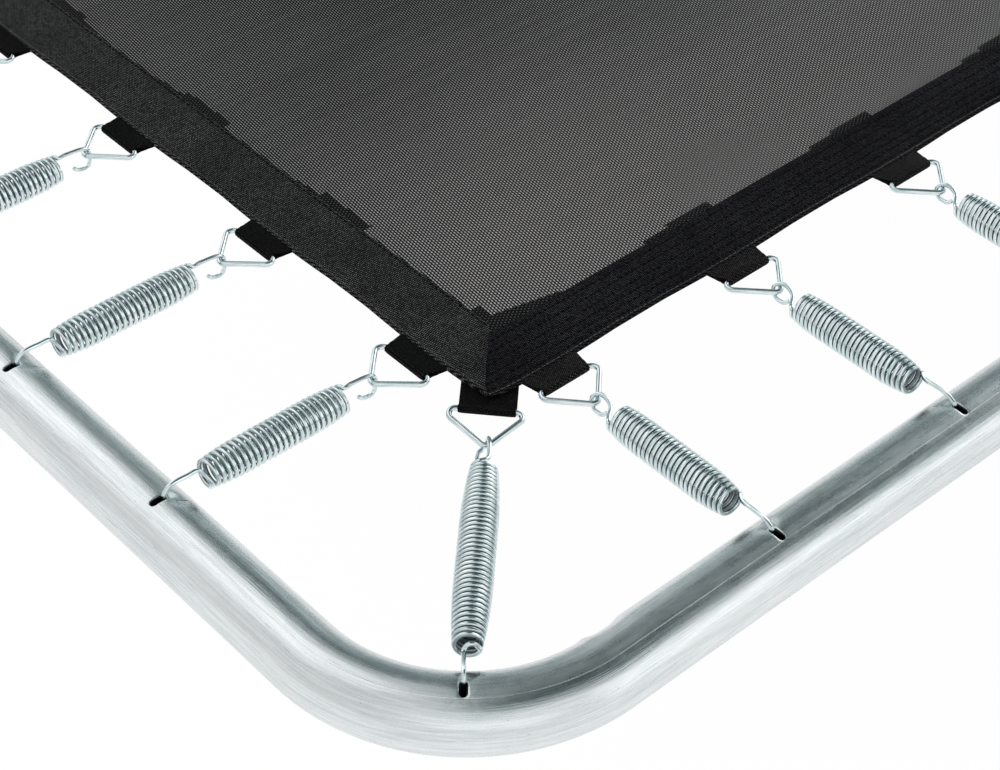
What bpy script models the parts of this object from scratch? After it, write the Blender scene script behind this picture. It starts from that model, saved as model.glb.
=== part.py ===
"""Garden trampoline: a galvanised tube frame on two U-shaped legs, and a woven jumping bed hung in it
by steel springs.

The bed's folded hem carries webbing loops with wire rings. Each spring hooks into a ring and into a
slot punched across the crown of the frame tube. One spring sits on each corner's diagonal.

Metres, Z up. The origin is on the ground under the middle of the bed, X runs along the long sides.
Front is -Y, left is -X.
"""

from math import cos, hypot, pi, radians, sin, sqrt

import bmesh
import bpy
import numpy as np
from mathutils import Matrix, Vector

# Overall sizes
MAT_LENGTH = 1.946
MAT_WIDTH = 0.941
END_GAP = 0.208
SIDE_GAP = 0.199
RAIL_HEIGHT = 0.55
MAT_RISE = 0.0216

# Frame tube and its bends
TUBE_D = 0.0483
TUBE_WALL = 0.0023
BEND_R = 0.1236
BEND_STEPS = 5
SPIGOT_LENGTH = 0.055
SWAGE_LENGTH = 0.008
FIT_GAP = 0.0003

# Legs
LEG_INSET = 0.631
SOCKET_LENGTH = 0.07
FLOOR_BEND_R = 0.1
FLOOR_BEND_STEPS = 3
FLOOR_POST_LENGTH = 0.06
FOOT_SPREAD = 0.41
FOOT_LENGTH = 0.06
FOOT_WALL = 0.006
FOOT_SOLE = 0.008

# Spring stations, counted along each side between the corners
SIDE_SPRINGS = 12
END_SPRINGS = 6
SIDE_FIRST = 0.0514
END_FIRST = 0.0654
JOINT_AFTER = 4

# Slots in the frame tube
SLOT_LENGTH = 0.0134
SLOT_WIDTH = 0.0052
SLOT_TIP = 0.0021

# Springs
WIRE_D = 0.0028
COIL_D = 0.0244
COIL_END_D = 0.0188
COIL_CURLS = 12
CURL_POINTS = 8
FRAME_ARM = 0.030
CORNER_ARM = 0.0255
SIDE_NECK = 0.0238
CORNER_NECK = 0.0175
EYE_LENGTH = 0.016
EYE_WIDTH = 0.011
HOOK_BEND_R = 0.005
HOOK_DEPTH = 0.0085

# Rings
RING_WIRE_D = 0.0034
RING_WIDTH = 0.0446
RING_DEPTH = 0.0266
RING_CORNER = 0.005
RING_APEX = 0.0022

# Bed, hem and webbing loops
BED_THICK = 0.0008
HEM_WIDTH = 0.050
HEM_THICK = 0.0034
HEM_LAYER = 0.0010
BED_EDGE = 0.012
LOOP_WIDTH = 0.0462
LOOP_NOSE_WIDTH = 0.0385
LOOP_THICK = 0.0024
LOOP_ROOT = 0.005
CORNER_LOOP_WIDTH = 0.036
CORNER_LOOP_TAIL = 0.030
SIDE_LOOP_OUT = 0.0142
CORNER_LOOP_OUT = 0.0094

# Places that follow from the sizes above
RAIL_X = MAT_LENGTH / 2 + END_GAP
RAIL_Y = MAT_WIDTH / 2 + SIDE_GAP
MAT_Z = RAIL_HEIGHT + MAT_RISE
TUBE_R = TUBE_D / 2
BORE_R = TUBE_R - TUBE_WALL
SPIGOT_R = BORE_R - FIT_GAP
SPIGOT_BORE_R = SPIGOT_R - TUBE_WALL
LEG_X = RAIL_X - LEG_INSET
BAR_Z = FOOT_SOLE + TUBE_R + FIT_GAP
SOCKET_Z = RAIL_HEIGHT - TUBE_R - SOCKET_LENGTH
SLOT_TIP_SINE = SLOT_WIDTH / 2 / hypot(SLOT_TIP, SLOT_WIDTH / 2)
HOOK_BACK = SLOT_LENGTH / 2 - (WIRE_D / 2 + FIT_GAP) / SLOT_TIP_SINE
TUBE_SIDES = 10
WIRE_SIDES = 6


def material(name, colour, roughness, metallic):
    made = bpy.data.materials.new(name)
    made.use_nodes = True
    shader = made.node_tree.nodes["Principled BSDF"]
    shader.inputs["Base Color"].default_value = (*colour, 1.0)
    shader.inputs["Roughness"].default_value = roughness
    shader.inputs["Metallic"].default_value = metallic
    made.diffuse_color = (*colour, 1.0)
    return made


def clear_scene():
    for obj in list(bpy.data.objects):
        bpy.data.objects.remove(obj, do_unlink=True)


def link(name, data, *materials):
    obj = bpy.data.objects.new(name, data)
    for each in materials:
        obj.data.materials.append(each)
    bpy.context.scene.collection.objects.link(obj)
    return obj


def swept(name, points, radii, sides, *materials, closed=False, tilt=0.0):
    """A round tube or wire: a curve through the points, with its radius given at each one. The tilt
    turns its facets round the curve."""
    curve = bpy.data.curves.new(name, "CURVE")
    curve.dimensions = "3D"
    curve.twist_mode = "MINIMUM"
    curve.bevel_depth = 1.0
    curve.bevel_resolution = (sides - 4) // 2
    curve.use_fill_caps = not closed
    spline = curve.splines.new("POLY")
    spline.points.add(len(points) - 1)
    spline.use_cyclic_u = closed
    for place, point, radius in zip(spline.points, points, radii):
        place.co = (*point, 1.0)
        place.radius = radius
        place.tilt = tilt
    return link(name, curve, *materials)


def as_mesh(obj):
    """The object with its curve or modifiers turned into a plain mesh."""
    graph = bpy.context.evaluated_depsgraph_get()
    mesh = bpy.data.meshes.new_from_object(obj.evaluated_get(graph))
    solid = bmesh.new()
    solid.from_mesh(mesh)
    bmesh.ops.remove_doubles(solid, verts=solid.verts, dist=1e-6)
    bmesh.ops.recalc_face_normals(solid, faces=solid.faces)
    solid.to_mesh(mesh)
    solid.free()
    made = link(obj.name, mesh)
    made.matrix_world = obj.matrix_world
    name = obj.name
    bpy.data.objects.remove(obj, do_unlink=True)
    made.name = name
    return made


def combined(target, pieces, operation):
    """The target with the pieces cut out of it or fused to it, and the pieces gone."""
    group = bpy.data.collections.new(target.name + "_pieces")
    for piece in pieces:
        group.objects.link(piece)
    step = target.modifiers.new(operation.lower(), "BOOLEAN")
    step.operation = operation
    step.operand_type = "COLLECTION"
    step.collection = group
    made = as_mesh(target)
    for piece in pieces:
        bpy.data.objects.remove(piece, do_unlink=True)
    bpy.data.collections.remove(group)
    return made


def cut(target, cutters):
    return combined(target, cutters, "DIFFERENCE")


def fused(target, pieces):
    return combined(target, pieces, "UNION")


def shade(obj, angle=35):
    obj.data.shade_smooth()
    obj.data.set_sharp_from_angle(angle=radians(angle))


def prism(name, outline, low, high, *materials):
    """A flat outline in XY drawn up from low to high."""
    solid = bmesh.new()
    face = solid.faces.new([solid.verts.new((x, y, low)) for x, y in outline])
    raised = bmesh.ops.extrude_face_region(solid, geom=[face])
    moved = [v for v in raised["geom"] if isinstance(v, bmesh.types.BMVert)]
    bmesh.ops.translate(solid, verts=moved, vec=(0, 0, high - low))
    bmesh.ops.recalc_face_normals(solid, faces=solid.faces)
    mesh = bpy.data.meshes.new(name)
    solid.to_mesh(mesh)
    solid.free()
    return link(name, mesh, *materials)


def arc(centre, radius, start, end, steps, across, up):
    """Points on an arc in the plane of two directions, angles in degrees."""
    return [
        Vector(centre) + radius * (cos(a) * Vector(across) + sin(a) * Vector(up))
        for a in np.radians(np.linspace(start, end, steps + 1))
    ]


def stations(length, first, count):
    """Places of the springs along one side, from the side's middle."""
    return np.linspace(first - length / 2, length / 2 - first, count)


def corner_gap():
    """How far the frame tube's axis is from the bed's corner, along the corner's diagonal."""
    across = END_GAP - BEND_R
    along = SIDE_GAP - BEND_R
    half = across + along
    reach = half + sqrt(half**2 - 2 * (across**2 + along**2 - BEND_R**2))
    return reach / sqrt(2)


def spring_places():
    """Each spring's name, its point on the bed's edge, its outward direction, its gap and whether it
    is a corner spring."""
    places = []
    side = stations(MAT_LENGTH, SIDE_FIRST, SIDE_SPRINGS)
    end = stations(MAT_WIDTH, END_FIRST, END_SPRINGS)
    for word, sign in (("front", -1), ("back", 1)):
        for number, x in enumerate(side, 1):
            edge = Vector((x, sign * MAT_WIDTH / 2, MAT_Z))
            places.append((f"{word}_{number:02d}", edge, Vector((0, sign, 0)), SIDE_GAP, False))
    for word, sign in (("left", -1), ("right", 1)):
        for number, y in enumerate(end, 1):
            edge = Vector((sign * MAT_LENGTH / 2, y, MAT_Z))
            places.append((f"{word}_{number:02d}", edge, Vector((sign, 0, 0)), END_GAP, False))
    for name, sx, sy in CORNERS:
        edge = Vector((sx * MAT_LENGTH / 2, sy * MAT_WIDTH / 2, MAT_Z))
        places.append((f"corner_{name}", edge, Vector((sx, sy, 0)).normalized(), corner_gap(), True))
    return places


CORNERS = (
    ("front_left", -1, -1),
    ("front_right", 1, -1),
    ("back_left", -1, 1),
    ("back_right", 1, 1),
)


def local_frame(edge, outward):
    """Maps (distance out from the bed's edge, sideways, up) to the world."""
    sideways = Vector((0, 0, 1)).cross(outward)
    axes = Matrix((outward, sideways, (0, 0, 1))).transposed().to_4x4()
    return Matrix.Translation(edge) @ axes


def slot_cutter(name, place):
    """A slot with pointed ends that runs across the tube, through its upper wall only."""
    _, edge, outward, gap, _ = place
    half, wide = SLOT_LENGTH / 2, SLOT_WIDTH / 2
    straight = half - SLOT_TIP
    outline = [
        (-half, 0.0),
        (-straight, -wide),
        (straight, -wide),
        (half, 0.0),
        (straight, wide),
        (-straight, wide),
    ]
    cutter = prism(name, outline, 0.0, TUBE_R + 0.01)
    crown = edge + outward * gap
    crown.z = RAIL_HEIGHT
    cutter.matrix_world = local_frame(crown, outward)
    return cutter


def pipe(name, path, radii, bores, metal):
    """An open-ended steel tube along a path, with its outer and inner radius at each point."""
    start = path[0] - (path[1] - path[0]).normalized() * 0.01
    end = path[-1] + (path[-1] - path[-2]).normalized() * 0.01
    outer = as_mesh(swept(name, path, radii, TUBE_SIDES, metal))
    inner = as_mesh(swept(name + "_bore", [start, *path[1:-1], end], bores, TUBE_SIDES))
    return outer, inner


def socket_pieces(x, y):
    """The stub welded under the rail that takes a leg post, and the bore that is drilled up it."""
    low = Vector((x, y, SOCKET_Z))
    top = Vector((x, y, RAIL_HEIGHT - TUBE_R * 0.5))
    stub = as_mesh(swept("socket", [low, top], [TUBE_R] * 2, TUBE_SIDES))
    start = low - Vector((0, 0, 0.01))
    stop = Vector((x, y, RAIL_HEIGHT - TUBE_R - FIT_GAP))
    bore = as_mesh(swept("socket_bore", [start, stop], [BORE_R] * 2, TUBE_SIDES))
    return stub, bore


def spigot_end(tip, shoulder, inward):
    """Points and radii of a swaged end: its tip, the foot of the swage and where full size starts."""
    path = [tip, shoulder, shoulder + inward * SWAGE_LENGTH]
    return path, [SPIGOT_R, SPIGOT_R, TUBE_R], [SPIGOT_BORE_R, SPIGOT_BORE_R, BORE_R]


def corner_rail(name, sx, sy, joint_x, places, metal):
    """One bent corner of the frame, with its slots and the socket for a leg post. Its long arm ends
    in a spigot. Of the short arms that meet in the middle of an end, the front one has the spigot."""
    along = Vector((sx, 0, 0))
    over = Vector((0, sy, 0))
    level = Vector((0, 0, RAIL_HEIGHT))
    shoulder = level + along * (joint_x + FIT_GAP) + over * RAIL_Y
    path, radii, bores = spigot_end(shoulder - along * SPIGOT_LENGTH, shoulder, along)
    centre = level + along * (RAIL_X - BEND_R) + over * (RAIL_Y - BEND_R)
    bend = arc(centre, BEND_R, 90, 0, BEND_STEPS, along, over)
    if sy < 0:
        foot = level + along * RAIL_X + over * FIT_GAP
        tail, tail_radii, tail_bores = spigot_end(foot - over * SPIGOT_LENGTH, foot, over)
        tail, tail_radii, tail_bores = tail[::-1], tail_radii[::-1], tail_bores[::-1]
    else:
        tail, tail_radii, tail_bores = [level + along * RAIL_X], [TUBE_R], [BORE_R]
    straight = [TUBE_R] * len(bend)
    hollow = [BORE_R] * len(bend)
    rail, bore = pipe(
        name, path + bend + tail, radii + straight + tail_radii, bores + hollow + tail_bores, metal
    )
    stub, drill = socket_pieces(sx * LEG_X, sy * RAIL_Y)
    rail = fused(rail, [stub])
    mine = [p for p in places if belongs(p, sx, sy, joint_x)]
    slots = [slot_cutter(f"slot_{place[0]}", place) for place in mine]
    rail = cut(rail, [bore, drill, *slots])
    shade(rail)
    return rail


def belongs(place, sx, sy, joint_x):
    """Whether a spring hooks into the corner rail of this quadrant."""
    _, edge, outward, gap, _ = place
    crown = edge + outward * gap
    return crown.x * sx > 0 and crown.y * sy > 0 and (abs(crown.x) > joint_x)


def middle_rail(name, sy, joint_x, places, metal):
    """The straight tube between two corner rails, with an open socket end on each spigot."""
    level = Vector((0, sy * RAIL_Y, RAIL_HEIGHT))
    ends = [level + Vector((x, 0, 0)) for x in (-joint_x, joint_x)]
    rail, bore = pipe(name, ends, [TUBE_R] * 2, [BORE_R] * 2, metal)
    mine = [p for p in places if p[2].y == sy and abs(p[1].x) < joint_x]
    slots = [slot_cutter(f"slot_{place[0]}", place) for place in mine]
    rail = cut(rail, [bore, *slots])
    shade(rail)
    return rail


def leg_post(name, x, y, metal):
    """A straight tube from the floor bar up into the rail's socket, swaged at its top."""
    up = Vector((0, 0, 1))
    low = Vector((x, y, BAR_Z + FLOOR_BEND_R + FLOOR_POST_LENGTH))
    shoulder = Vector((x, y, SOCKET_Z - FIT_GAP))
    path, radii, bores = spigot_end(shoulder + up * SPIGOT_LENGTH, shoulder, -up)
    post, bore = pipe(name, [low, *path[::-1]], [TUBE_R, *radii[::-1]], [BORE_R, *bores[::-1]], metal)
    post = cut(post, [bore])
    shade(post)
    return post


def floor_bar(name, y, metal):
    """The U-shaped base of one leg: a bar along the ground that turns up into two swaged ends."""
    up = Vector((0, 0, 1))
    side = Vector((1, 0, 0))
    shoulder_z = BAR_Z + FLOOR_BEND_R + FLOOR_POST_LENGTH - FIT_GAP
    path, radii, bores = [], [], []
    for sign in (-1, 1):
        shoulder = Vector((sign * LEG_X, y, shoulder_z))
        end, end_radii, end_bores = spigot_end(shoulder + up * SPIGOT_LENGTH, shoulder, -up)
        centre = Vector((sign * (LEG_X - FLOOR_BEND_R), y, BAR_Z + FLOOR_BEND_R))
        bend = arc(centre, FLOOR_BEND_R, 0, -90, FLOOR_BEND_STEPS, side * sign, up)
        half = end + bend
        half_radii = end_radii + [TUBE_R] * len(bend)
        half_bores = end_bores + [BORE_R] * len(bend)
        if sign > 0:
            half, half_radii, half_bores = half[::-1], half_radii[::-1], half_bores[::-1]
        path += half
        radii += half_radii
        bores += half_bores
    bar, bore = pipe(name, path, radii, bores, metal)
    bar = cut(bar, [bore])
    shade(bar)
    return bar


def foot(name, x, y, rubber):
    """A rubber sleeve on the floor bar, with a flat sole."""
    reach = TUBE_R + FIT_GAP + FOOT_WALL
    dome = [(reach * cos(a), BAR_Z + reach * sin(a)) for a in np.radians(np.linspace(0, 180, 7))]
    outline = [(-reach, 0.0), (reach, 0.0), *dome]
    sleeve = prism(name, outline, -FOOT_LENGTH / 2, FOOT_LENGTH / 2, rubber)
    turned = Matrix(((0, 0, 1), (1, 0, 0), (0, 1, 0))).to_4x4()
    sleeve.matrix_world = Matrix.Translation((x, y, 0)) @ turned
    ends = [Vector((x + s * FOOT_LENGTH, y, BAR_Z)) for s in (-1, 1)]
    hole_radii = [TUBE_R + FIT_GAP] * 2
    hole = as_mesh(swept("foot_hole", ends, hole_radii, TUBE_SIDES, tilt=pi / TUBE_SIDES))
    sleeve = cut(sleeve, [hole])
    shade(sleeve)
    return sleeve


def bed(woven):
    """The woven sheet. Its edge lies inside the folded hem."""
    x = MAT_LENGTH / 2 - BED_EDGE
    y = MAT_WIDTH / 2 - BED_EDGE
    outline = [(-x, -y), (x, -y), (x, y), (-x, y)]
    return prism("jumping_bed", outline, MAT_Z - BED_THICK / 2, MAT_Z + BED_THICK / 2, woven)


def hem_band(fabric, zinc):
    """The band folded over the bed's edge, mitred at the corners: a folded profile led round the bed.
    The pocket between its two layers holds the bed's edge."""
    half = HEM_THICK / 2
    pocket = half - HEM_LAYER
    fold = BED_EDGE - 2 * FIT_GAP
    round_off = HEM_LAYER * 0.6
    profile = [
        (round_off, half),
        (HEM_WIDTH, half),
        (HEM_WIDTH, pocket),
        (fold, pocket),
        (fold, -pocket),
        (HEM_WIDTH, -pocket),
        (HEM_WIDTH, -half),
        (round_off, -half),
        (0.0, -round_off),
        (0.0, round_off),
    ]
    solid = bmesh.new()
    rings = []
    for sx, sy in ((-1, -1), (1, -1), (1, 1), (-1, 1)):
        corner = [
            (sx * (MAT_LENGTH / 2 - inset), sy * (MAT_WIDTH / 2 - inset), MAT_Z + height)
            for inset, height in profile
        ]
        rings.append([solid.verts.new(point) for point in corner])
    for ring, after in zip(rings, rings[1:] + rings[:1]):
        count = len(ring)
        for k in range(count):
            solid.faces.new((ring[k], ring[(k + 1) % count], after[(k + 1) % count], after[k]))
    bmesh.ops.recalc_face_normals(solid, faces=solid.faces)
    mesh = bpy.data.meshes.new("hem")
    solid.to_mesh(mesh)
    solid.free()
    return link("hem", mesh, fabric, zinc)


def webbing_loop(place, fabric, zinc):
    """A webbing strip whose folded nose holds the ring's straight side. Along the sides it is caught in
    the hem's fold, and at a corner it is sewn under the hem."""
    name, edge, outward, _, at_corner = place
    nose = RING_WIRE_D / 2 + LOOP_THICK / 2
    under = -HEM_THICK / 2
    if at_corner:
        out, width, taper = CORNER_LOOP_OUT, CORNER_LOOP_WIDTH, 0.0
        back = [(-CORNER_LOOP_TAIL, under - LOOP_THICK), (-CORNER_LOOP_TAIL, under + HEM_LAYER / 5)]
        back.append((HEM_LAYER, under + HEM_LAYER / 5))
    else:
        out, width = SIDE_LOOP_OUT, LOOP_WIDTH
        taper = (LOOP_WIDTH - LOOP_NOSE_WIDTH) / out
        back = [(-LOOP_ROOT, -HEM_LAYER), (-LOOP_ROOT, HEM_LAYER)]
    profile = [*back, (out, nose), (out + nose, 0.0), (out, -nose)]
    solid = bmesh.new()
    rows = []
    for sign in (-1, 1):
        rows.append([solid.verts.new((s, sign * (width - taper * s) / 2, z)) for s, z in profile])
    for k in range(len(profile)):
        after = (k + 1) % len(profile)
        solid.faces.new((rows[0][k], rows[0][after], rows[1][after], rows[1][k]))
    solid.faces.new(rows[0])
    solid.faces.new(rows[1])
    bmesh.ops.recalc_face_normals(solid, faces=solid.faces)
    mesh = bpy.data.meshes.new(f"loop_{name}")
    solid.to_mesh(mesh)
    solid.free()
    loop = link(mesh.name, mesh, fabric, zinc)
    loop.matrix_world = local_frame(edge, outward)
    return loop


def ring(place, fabric, zinc):
    """The wire ring in a webbing loop: a triangle with rounded corners, its point outward."""
    name, edge, outward, _, at_corner = place
    out = CORNER_LOOP_OUT if at_corner else SIDE_LOOP_OUT
    half = RING_WIDTH / 2
    turn = RING_CORNER * 0.7
    points = [
        (out, -half + RING_CORNER),
        (out + turn, -half),
        (out + RING_DEPTH, -RING_APEX),
        (out + RING_DEPTH, RING_APEX),
        (out + turn, half),
        (out, half - RING_CORNER),
    ]
    frame = local_frame(edge, outward)
    path = [frame @ Vector((s, t, 0)) for s, t in points]
    made = swept(f"ring_{name}", path, [RING_WIRE_D / 2] * len(path), 4, fabric, zinc, closed=True)
    made = as_mesh(made)
    for face in made.data.polygons:
        face.material_index = 1
    return made


def hem(places, fabric, zinc):
    """The hem with every webbing loop sewn to it and every ring caught in its loop."""
    band = hem_band(fabric, zinc)
    pieces = []
    for place in places:
        pieces.append(webbing_loop(place, fabric, zinc))
        pieces.append(ring(place, fabric, zinc))
    band = fused(band, pieces)
    shade(band)
    return band


def frame_hook(gap, steps=2):
    """The spring's end at the frame, from its tip inside the tube up through the slot and round
    towards the bed. It pulls on the slot's inner end."""
    s = gap - HOOK_BACK
    crown = TUBE_R - MAT_RISE
    turn = crown + FIT_GAP
    tip = Vector((s, 0, crown - HOOK_DEPTH))
    centre = (s - HOOK_BEND_R, 0, turn)
    return [tip, *arc(centre, HOOK_BEND_R, 0, 90, steps, (1, 0, 0), (0, 0, 1))]


def ring_hook(apex):
    """The spring's end at the bed: an open eye round the ring's point, in an upright plane."""
    grip = RING_WIRE_D / 2 + FIT_GAP + WIRE_D / 2
    long, wide = EYE_LENGTH / 2 / cos(radians(30)), EYE_WIDTH / 2
    centre = (apex - grip + EYE_LENGTH / 2, 0, 0)
    angles = np.radians((30, 90, 150, 210, 270, 320))
    return [Vector(centre) + Vector((long * cos(a), 0, wide * sin(a))) for a in angles]


def coil_radius(share):
    """The coil's radius to the middle of its wire: full along the middle, drawn in at both ends."""
    full = (COIL_D - WIRE_D) / 2
    small = (COIL_END_D - WIRE_D) / 2
    return full - (full - small) * abs(2 * share - 1) ** 3


def body_ends(place):
    """The coil's two end points on its axis, frame end first, in the local frame."""
    _, _, _, gap, at_corner = place
    out = CORNER_LOOP_OUT if at_corner else SIDE_LOOP_OUT
    neck = CORNER_NECK if at_corner else SIDE_NECK
    arm = CORNER_ARM if at_corner else FRAME_ARM
    outer = Vector((gap - HOOK_BACK - arm, 0, 0))
    inner = Vector((out + RING_DEPTH + neck, 0, 0))
    return outer, inner


def plain_spring(place, zinc):
    """A spring as a solid barrel of its coils' outer shape, with its two wire ends."""
    name, edge, outward, gap, at_corner = place
    out = CORNER_LOOP_OUT if at_corner else SIDE_LOOP_OUT
    outer, inner = body_ends(place)
    wire = WIRE_D / 2
    root = (inner - outer).normalized() * 2 * wire
    frame = local_frame(edge, outward)
    shares = (0.0, 0.25, 0.75, 1.0)
    middle = [frame @ outer.lerp(inner, share) for share in shares]
    radii = [coil_radius(share) + wire for share in shares]
    barrel = as_mesh(swept(f"spring_{name}", middle, radii, WIRE_SIDES, zinc))
    rim = Vector((0, 0, coil_radius(0.0) - wire))
    frame_end = [*frame_hook(gap, 1), outer + root + rim]
    ring_end = [inner - root + rim, *ring_hook(out + RING_DEPTH)]
    wires = []
    for path in (frame_end, ring_end):
        wires.append(as_mesh(swept("wire", [frame @ p for p in path], [wire] * len(path), 4)))
    barrel = fused(barrel, wires)
    shade(barrel, 50)
    return barrel


def coil_spring(place, zinc):
    """A spring as its wire: one unbroken tube through the frame hook, the curls and the eye."""
    name, edge, outward, gap, at_corner = place
    out = CORNER_LOOP_OUT if at_corner else SIDE_LOOP_OUT
    outer, inner = body_ends(place)
    axis = (inner - outer).normalized()
    side = Vector((0, 1, 0))
    rise = axis.cross(side).normalized()
    path = frame_hook(gap)
    count = COIL_CURLS * CURL_POINTS
    for k in range(count + 1):
        share = k / count
        angle = 2 * pi * k / CURL_POINTS
        radius = coil_radius(share)
        path.append(outer.lerp(inner, share) + radius * (cos(angle) * rise + sin(angle) * side))
    path += ring_hook(out + RING_DEPTH)
    frame = local_frame(edge, outward)
    path = [frame @ p for p in path]
    print(f"spring_{name}: {COIL_CURLS} curls, least gap to itself {least_gap(path) * 1000:.2f} mm")
    return swept(f"spring_{name}", path, [WIRE_D / 2] * len(path), WIRE_SIDES, zinc)


def least_gap(path):
    """The least clear distance between stretches of the wire that lie over half a curl apart."""
    at = np.array([tuple(p) for p in path])
    mid = (at[1:] + at[:-1]) / 2
    fine = np.vstack([at, mid])
    order = np.concatenate([np.arange(len(at)), np.arange(len(mid)) + 0.5])
    apart = np.linalg.norm(fine[:, None] - fine[None], axis=2)
    apart[np.abs(order[:, None] - order[None]) < CURL_POINTS * 0.6] = np.inf
    return apart.min() - WIRE_D


def gathered(name, height, members):
    """An empty at this height over the origin, with the members parented to it where they are."""
    holder = bpy.data.objects.new(name, None)
    holder.location.z = height
    bpy.context.scene.collection.objects.link(holder)
    for member in members:
        member.parent = holder
        member.matrix_parent_inverse = Matrix.Translation((0, 0, -height))


def build():
    clear_scene()
    galvanised = material("galvanised_steel", (0.60, 0.63, 0.65), 0.38, 1.0)
    zinc = material("zinc_plated_wire", (0.72, 0.76, 0.78), 0.25, 1.0)
    fabric = material("black_hem_fabric", (0.012, 0.012, 0.013), 0.9, 0.0)
    woven = material("woven_bed", (0.055, 0.057, 0.06), 0.75, 0.0)
    rubber = material("foot_rubber", (0.02, 0.02, 0.021), 0.8, 0.0)

    places = spring_places()
    side = stations(MAT_LENGTH, SIDE_FIRST, SIDE_SPRINGS)
    joint_x = -(side[JOINT_AFTER - 1] + side[JOINT_AFTER]) / 2

    still = []
    for name, sx, sy in CORNERS:
        still.append(corner_rail(f"rail_{name}", sx, sy, joint_x, places, galvanised))
        still.append(leg_post(f"leg_post_{name}", sx * LEG_X, sy * RAIL_Y, galvanised))
        still.append(foot(f"foot_{name}", sx * FOOT_SPREAD, sy * RAIL_Y, rubber))
    for word, sy in (("front", -1), ("back", 1)):
        still.append(middle_rail(f"rail_{word}_middle", sy, joint_x, places, galvanised))
        still.append(floor_bar(f"floor_bar_{word}", sy * RAIL_Y, galvanised))

    moving = [bed(woven), hem(places, fabric, zinc)]
    for place in places:
        maker = coil_spring if place[4] else plain_spring
        still.append(maker(place, zinc))
    gathered("frame", 0.0, still)
    gathered("mat", MAT_Z, moving)


build()
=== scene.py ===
# %% [markdown]
# # A garden trampoline
#
# The object is a rectangular garden trampoline, seen close at one corner: a bent galvanised tube, a
# woven bed with a folded black hem, and steel springs that pull the bed tight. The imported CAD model
# gives every place and every moving body. This script builds what is seen around it.
#
# Its order is the order of making: camera, helpers, frame tubes, legs and feet, rings and springs,
# loops, hem and bed, and last the floor and the light. Each finish comes just before the first piece
# that wears it.

from collections import namedtuple
from math import atan2, cos, pi, radians, sin, sqrt, tau

import bmesh
import bpy
import numpy as np
from mathutils import Matrix, Vector


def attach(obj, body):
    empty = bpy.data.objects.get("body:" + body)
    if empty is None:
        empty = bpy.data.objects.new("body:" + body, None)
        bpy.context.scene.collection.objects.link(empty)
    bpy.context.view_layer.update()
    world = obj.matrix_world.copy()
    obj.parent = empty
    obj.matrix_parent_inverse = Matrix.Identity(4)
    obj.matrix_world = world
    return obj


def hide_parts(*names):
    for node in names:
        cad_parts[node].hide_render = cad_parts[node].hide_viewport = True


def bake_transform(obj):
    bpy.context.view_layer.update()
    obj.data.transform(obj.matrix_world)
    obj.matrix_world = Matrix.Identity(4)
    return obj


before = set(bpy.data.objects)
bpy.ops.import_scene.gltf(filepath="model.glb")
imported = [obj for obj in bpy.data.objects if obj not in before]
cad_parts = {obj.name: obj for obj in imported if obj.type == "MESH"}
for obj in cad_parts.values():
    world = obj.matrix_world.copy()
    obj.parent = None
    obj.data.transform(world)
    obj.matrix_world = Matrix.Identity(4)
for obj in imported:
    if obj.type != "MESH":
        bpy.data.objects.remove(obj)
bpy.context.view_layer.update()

# %% [markdown]
# ## The camera
#
# The photographer stood near the corner and looked down into it with a long lens. The camera could
# be placed by eye, but here its place, heading, tilt and lens come from matching the tube's outline,
# the hem's edges, the rings and the slots in the photograph with their real sizes, so that each piece
# falls where the photograph shows it.

# %% Camera
CAMERA_AT = Vector((-1.6886, -1.2770, 1.5542))
CAMERA_HEADING = radians(48.09)
CAMERA_DOWN = radians(41.88)
CAMERA_ROLL = radians(0.49)
CAMERA_LENS = 82.95

ahead = Vector((
    cos(CAMERA_HEADING) * cos(CAMERA_DOWN),
    sin(CAMERA_HEADING) * cos(CAMERA_DOWN),
    -sin(CAMERA_DOWN),
))
level = Vector((sin(CAMERA_HEADING), -cos(CAMERA_HEADING), 0.0))
upright = level.cross(ahead)
right = cos(CAMERA_ROLL) * level + sin(CAMERA_ROLL) * upright
up = cos(CAMERA_ROLL) * upright - sin(CAMERA_ROLL) * level

lens = bpy.data.cameras.new("photo_camera")
lens.sensor_width = 36.0
lens.lens = CAMERA_LENS
lens.clip_start = 0.05
lens.clip_end = 100.0
camera = bpy.data.objects.new("photo_camera", lens)
turned = Matrix((right, up, -ahead)).transposed().to_4x4()
camera.matrix_world = Matrix.Translation(CAMERA_AT) @ turned
bpy.context.scene.collection.objects.link(camera)
bpy.context.scene.camera = camera
bpy.context.scene.view_settings.view_transform = "Standard"
print("camera at", [round(x, 3) for x in CAMERA_AT])

# %% [markdown]
# ## Writing shader maths as Python
#
# A finish is a tree of nodes. Wiring each node by hand hides what the tree computes, so one small
# class stands for a node's output and turns Python's own operators into Math nodes. Another holds
# the tree, and its method `node` makes any other node: settings first, then sockets.

# %% Shader helpers
def maths(operation, flipped=False):
    """A method that adds one Math node, fed by the value itself and the other terms."""

    def method(self, *others):
        terms = (self, *others)[::-1] if flipped else (self, *others)
        return self.graph.node("ShaderNodeMath", {"operation": operation}, dict(enumerate(terms)))

    return method


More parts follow.
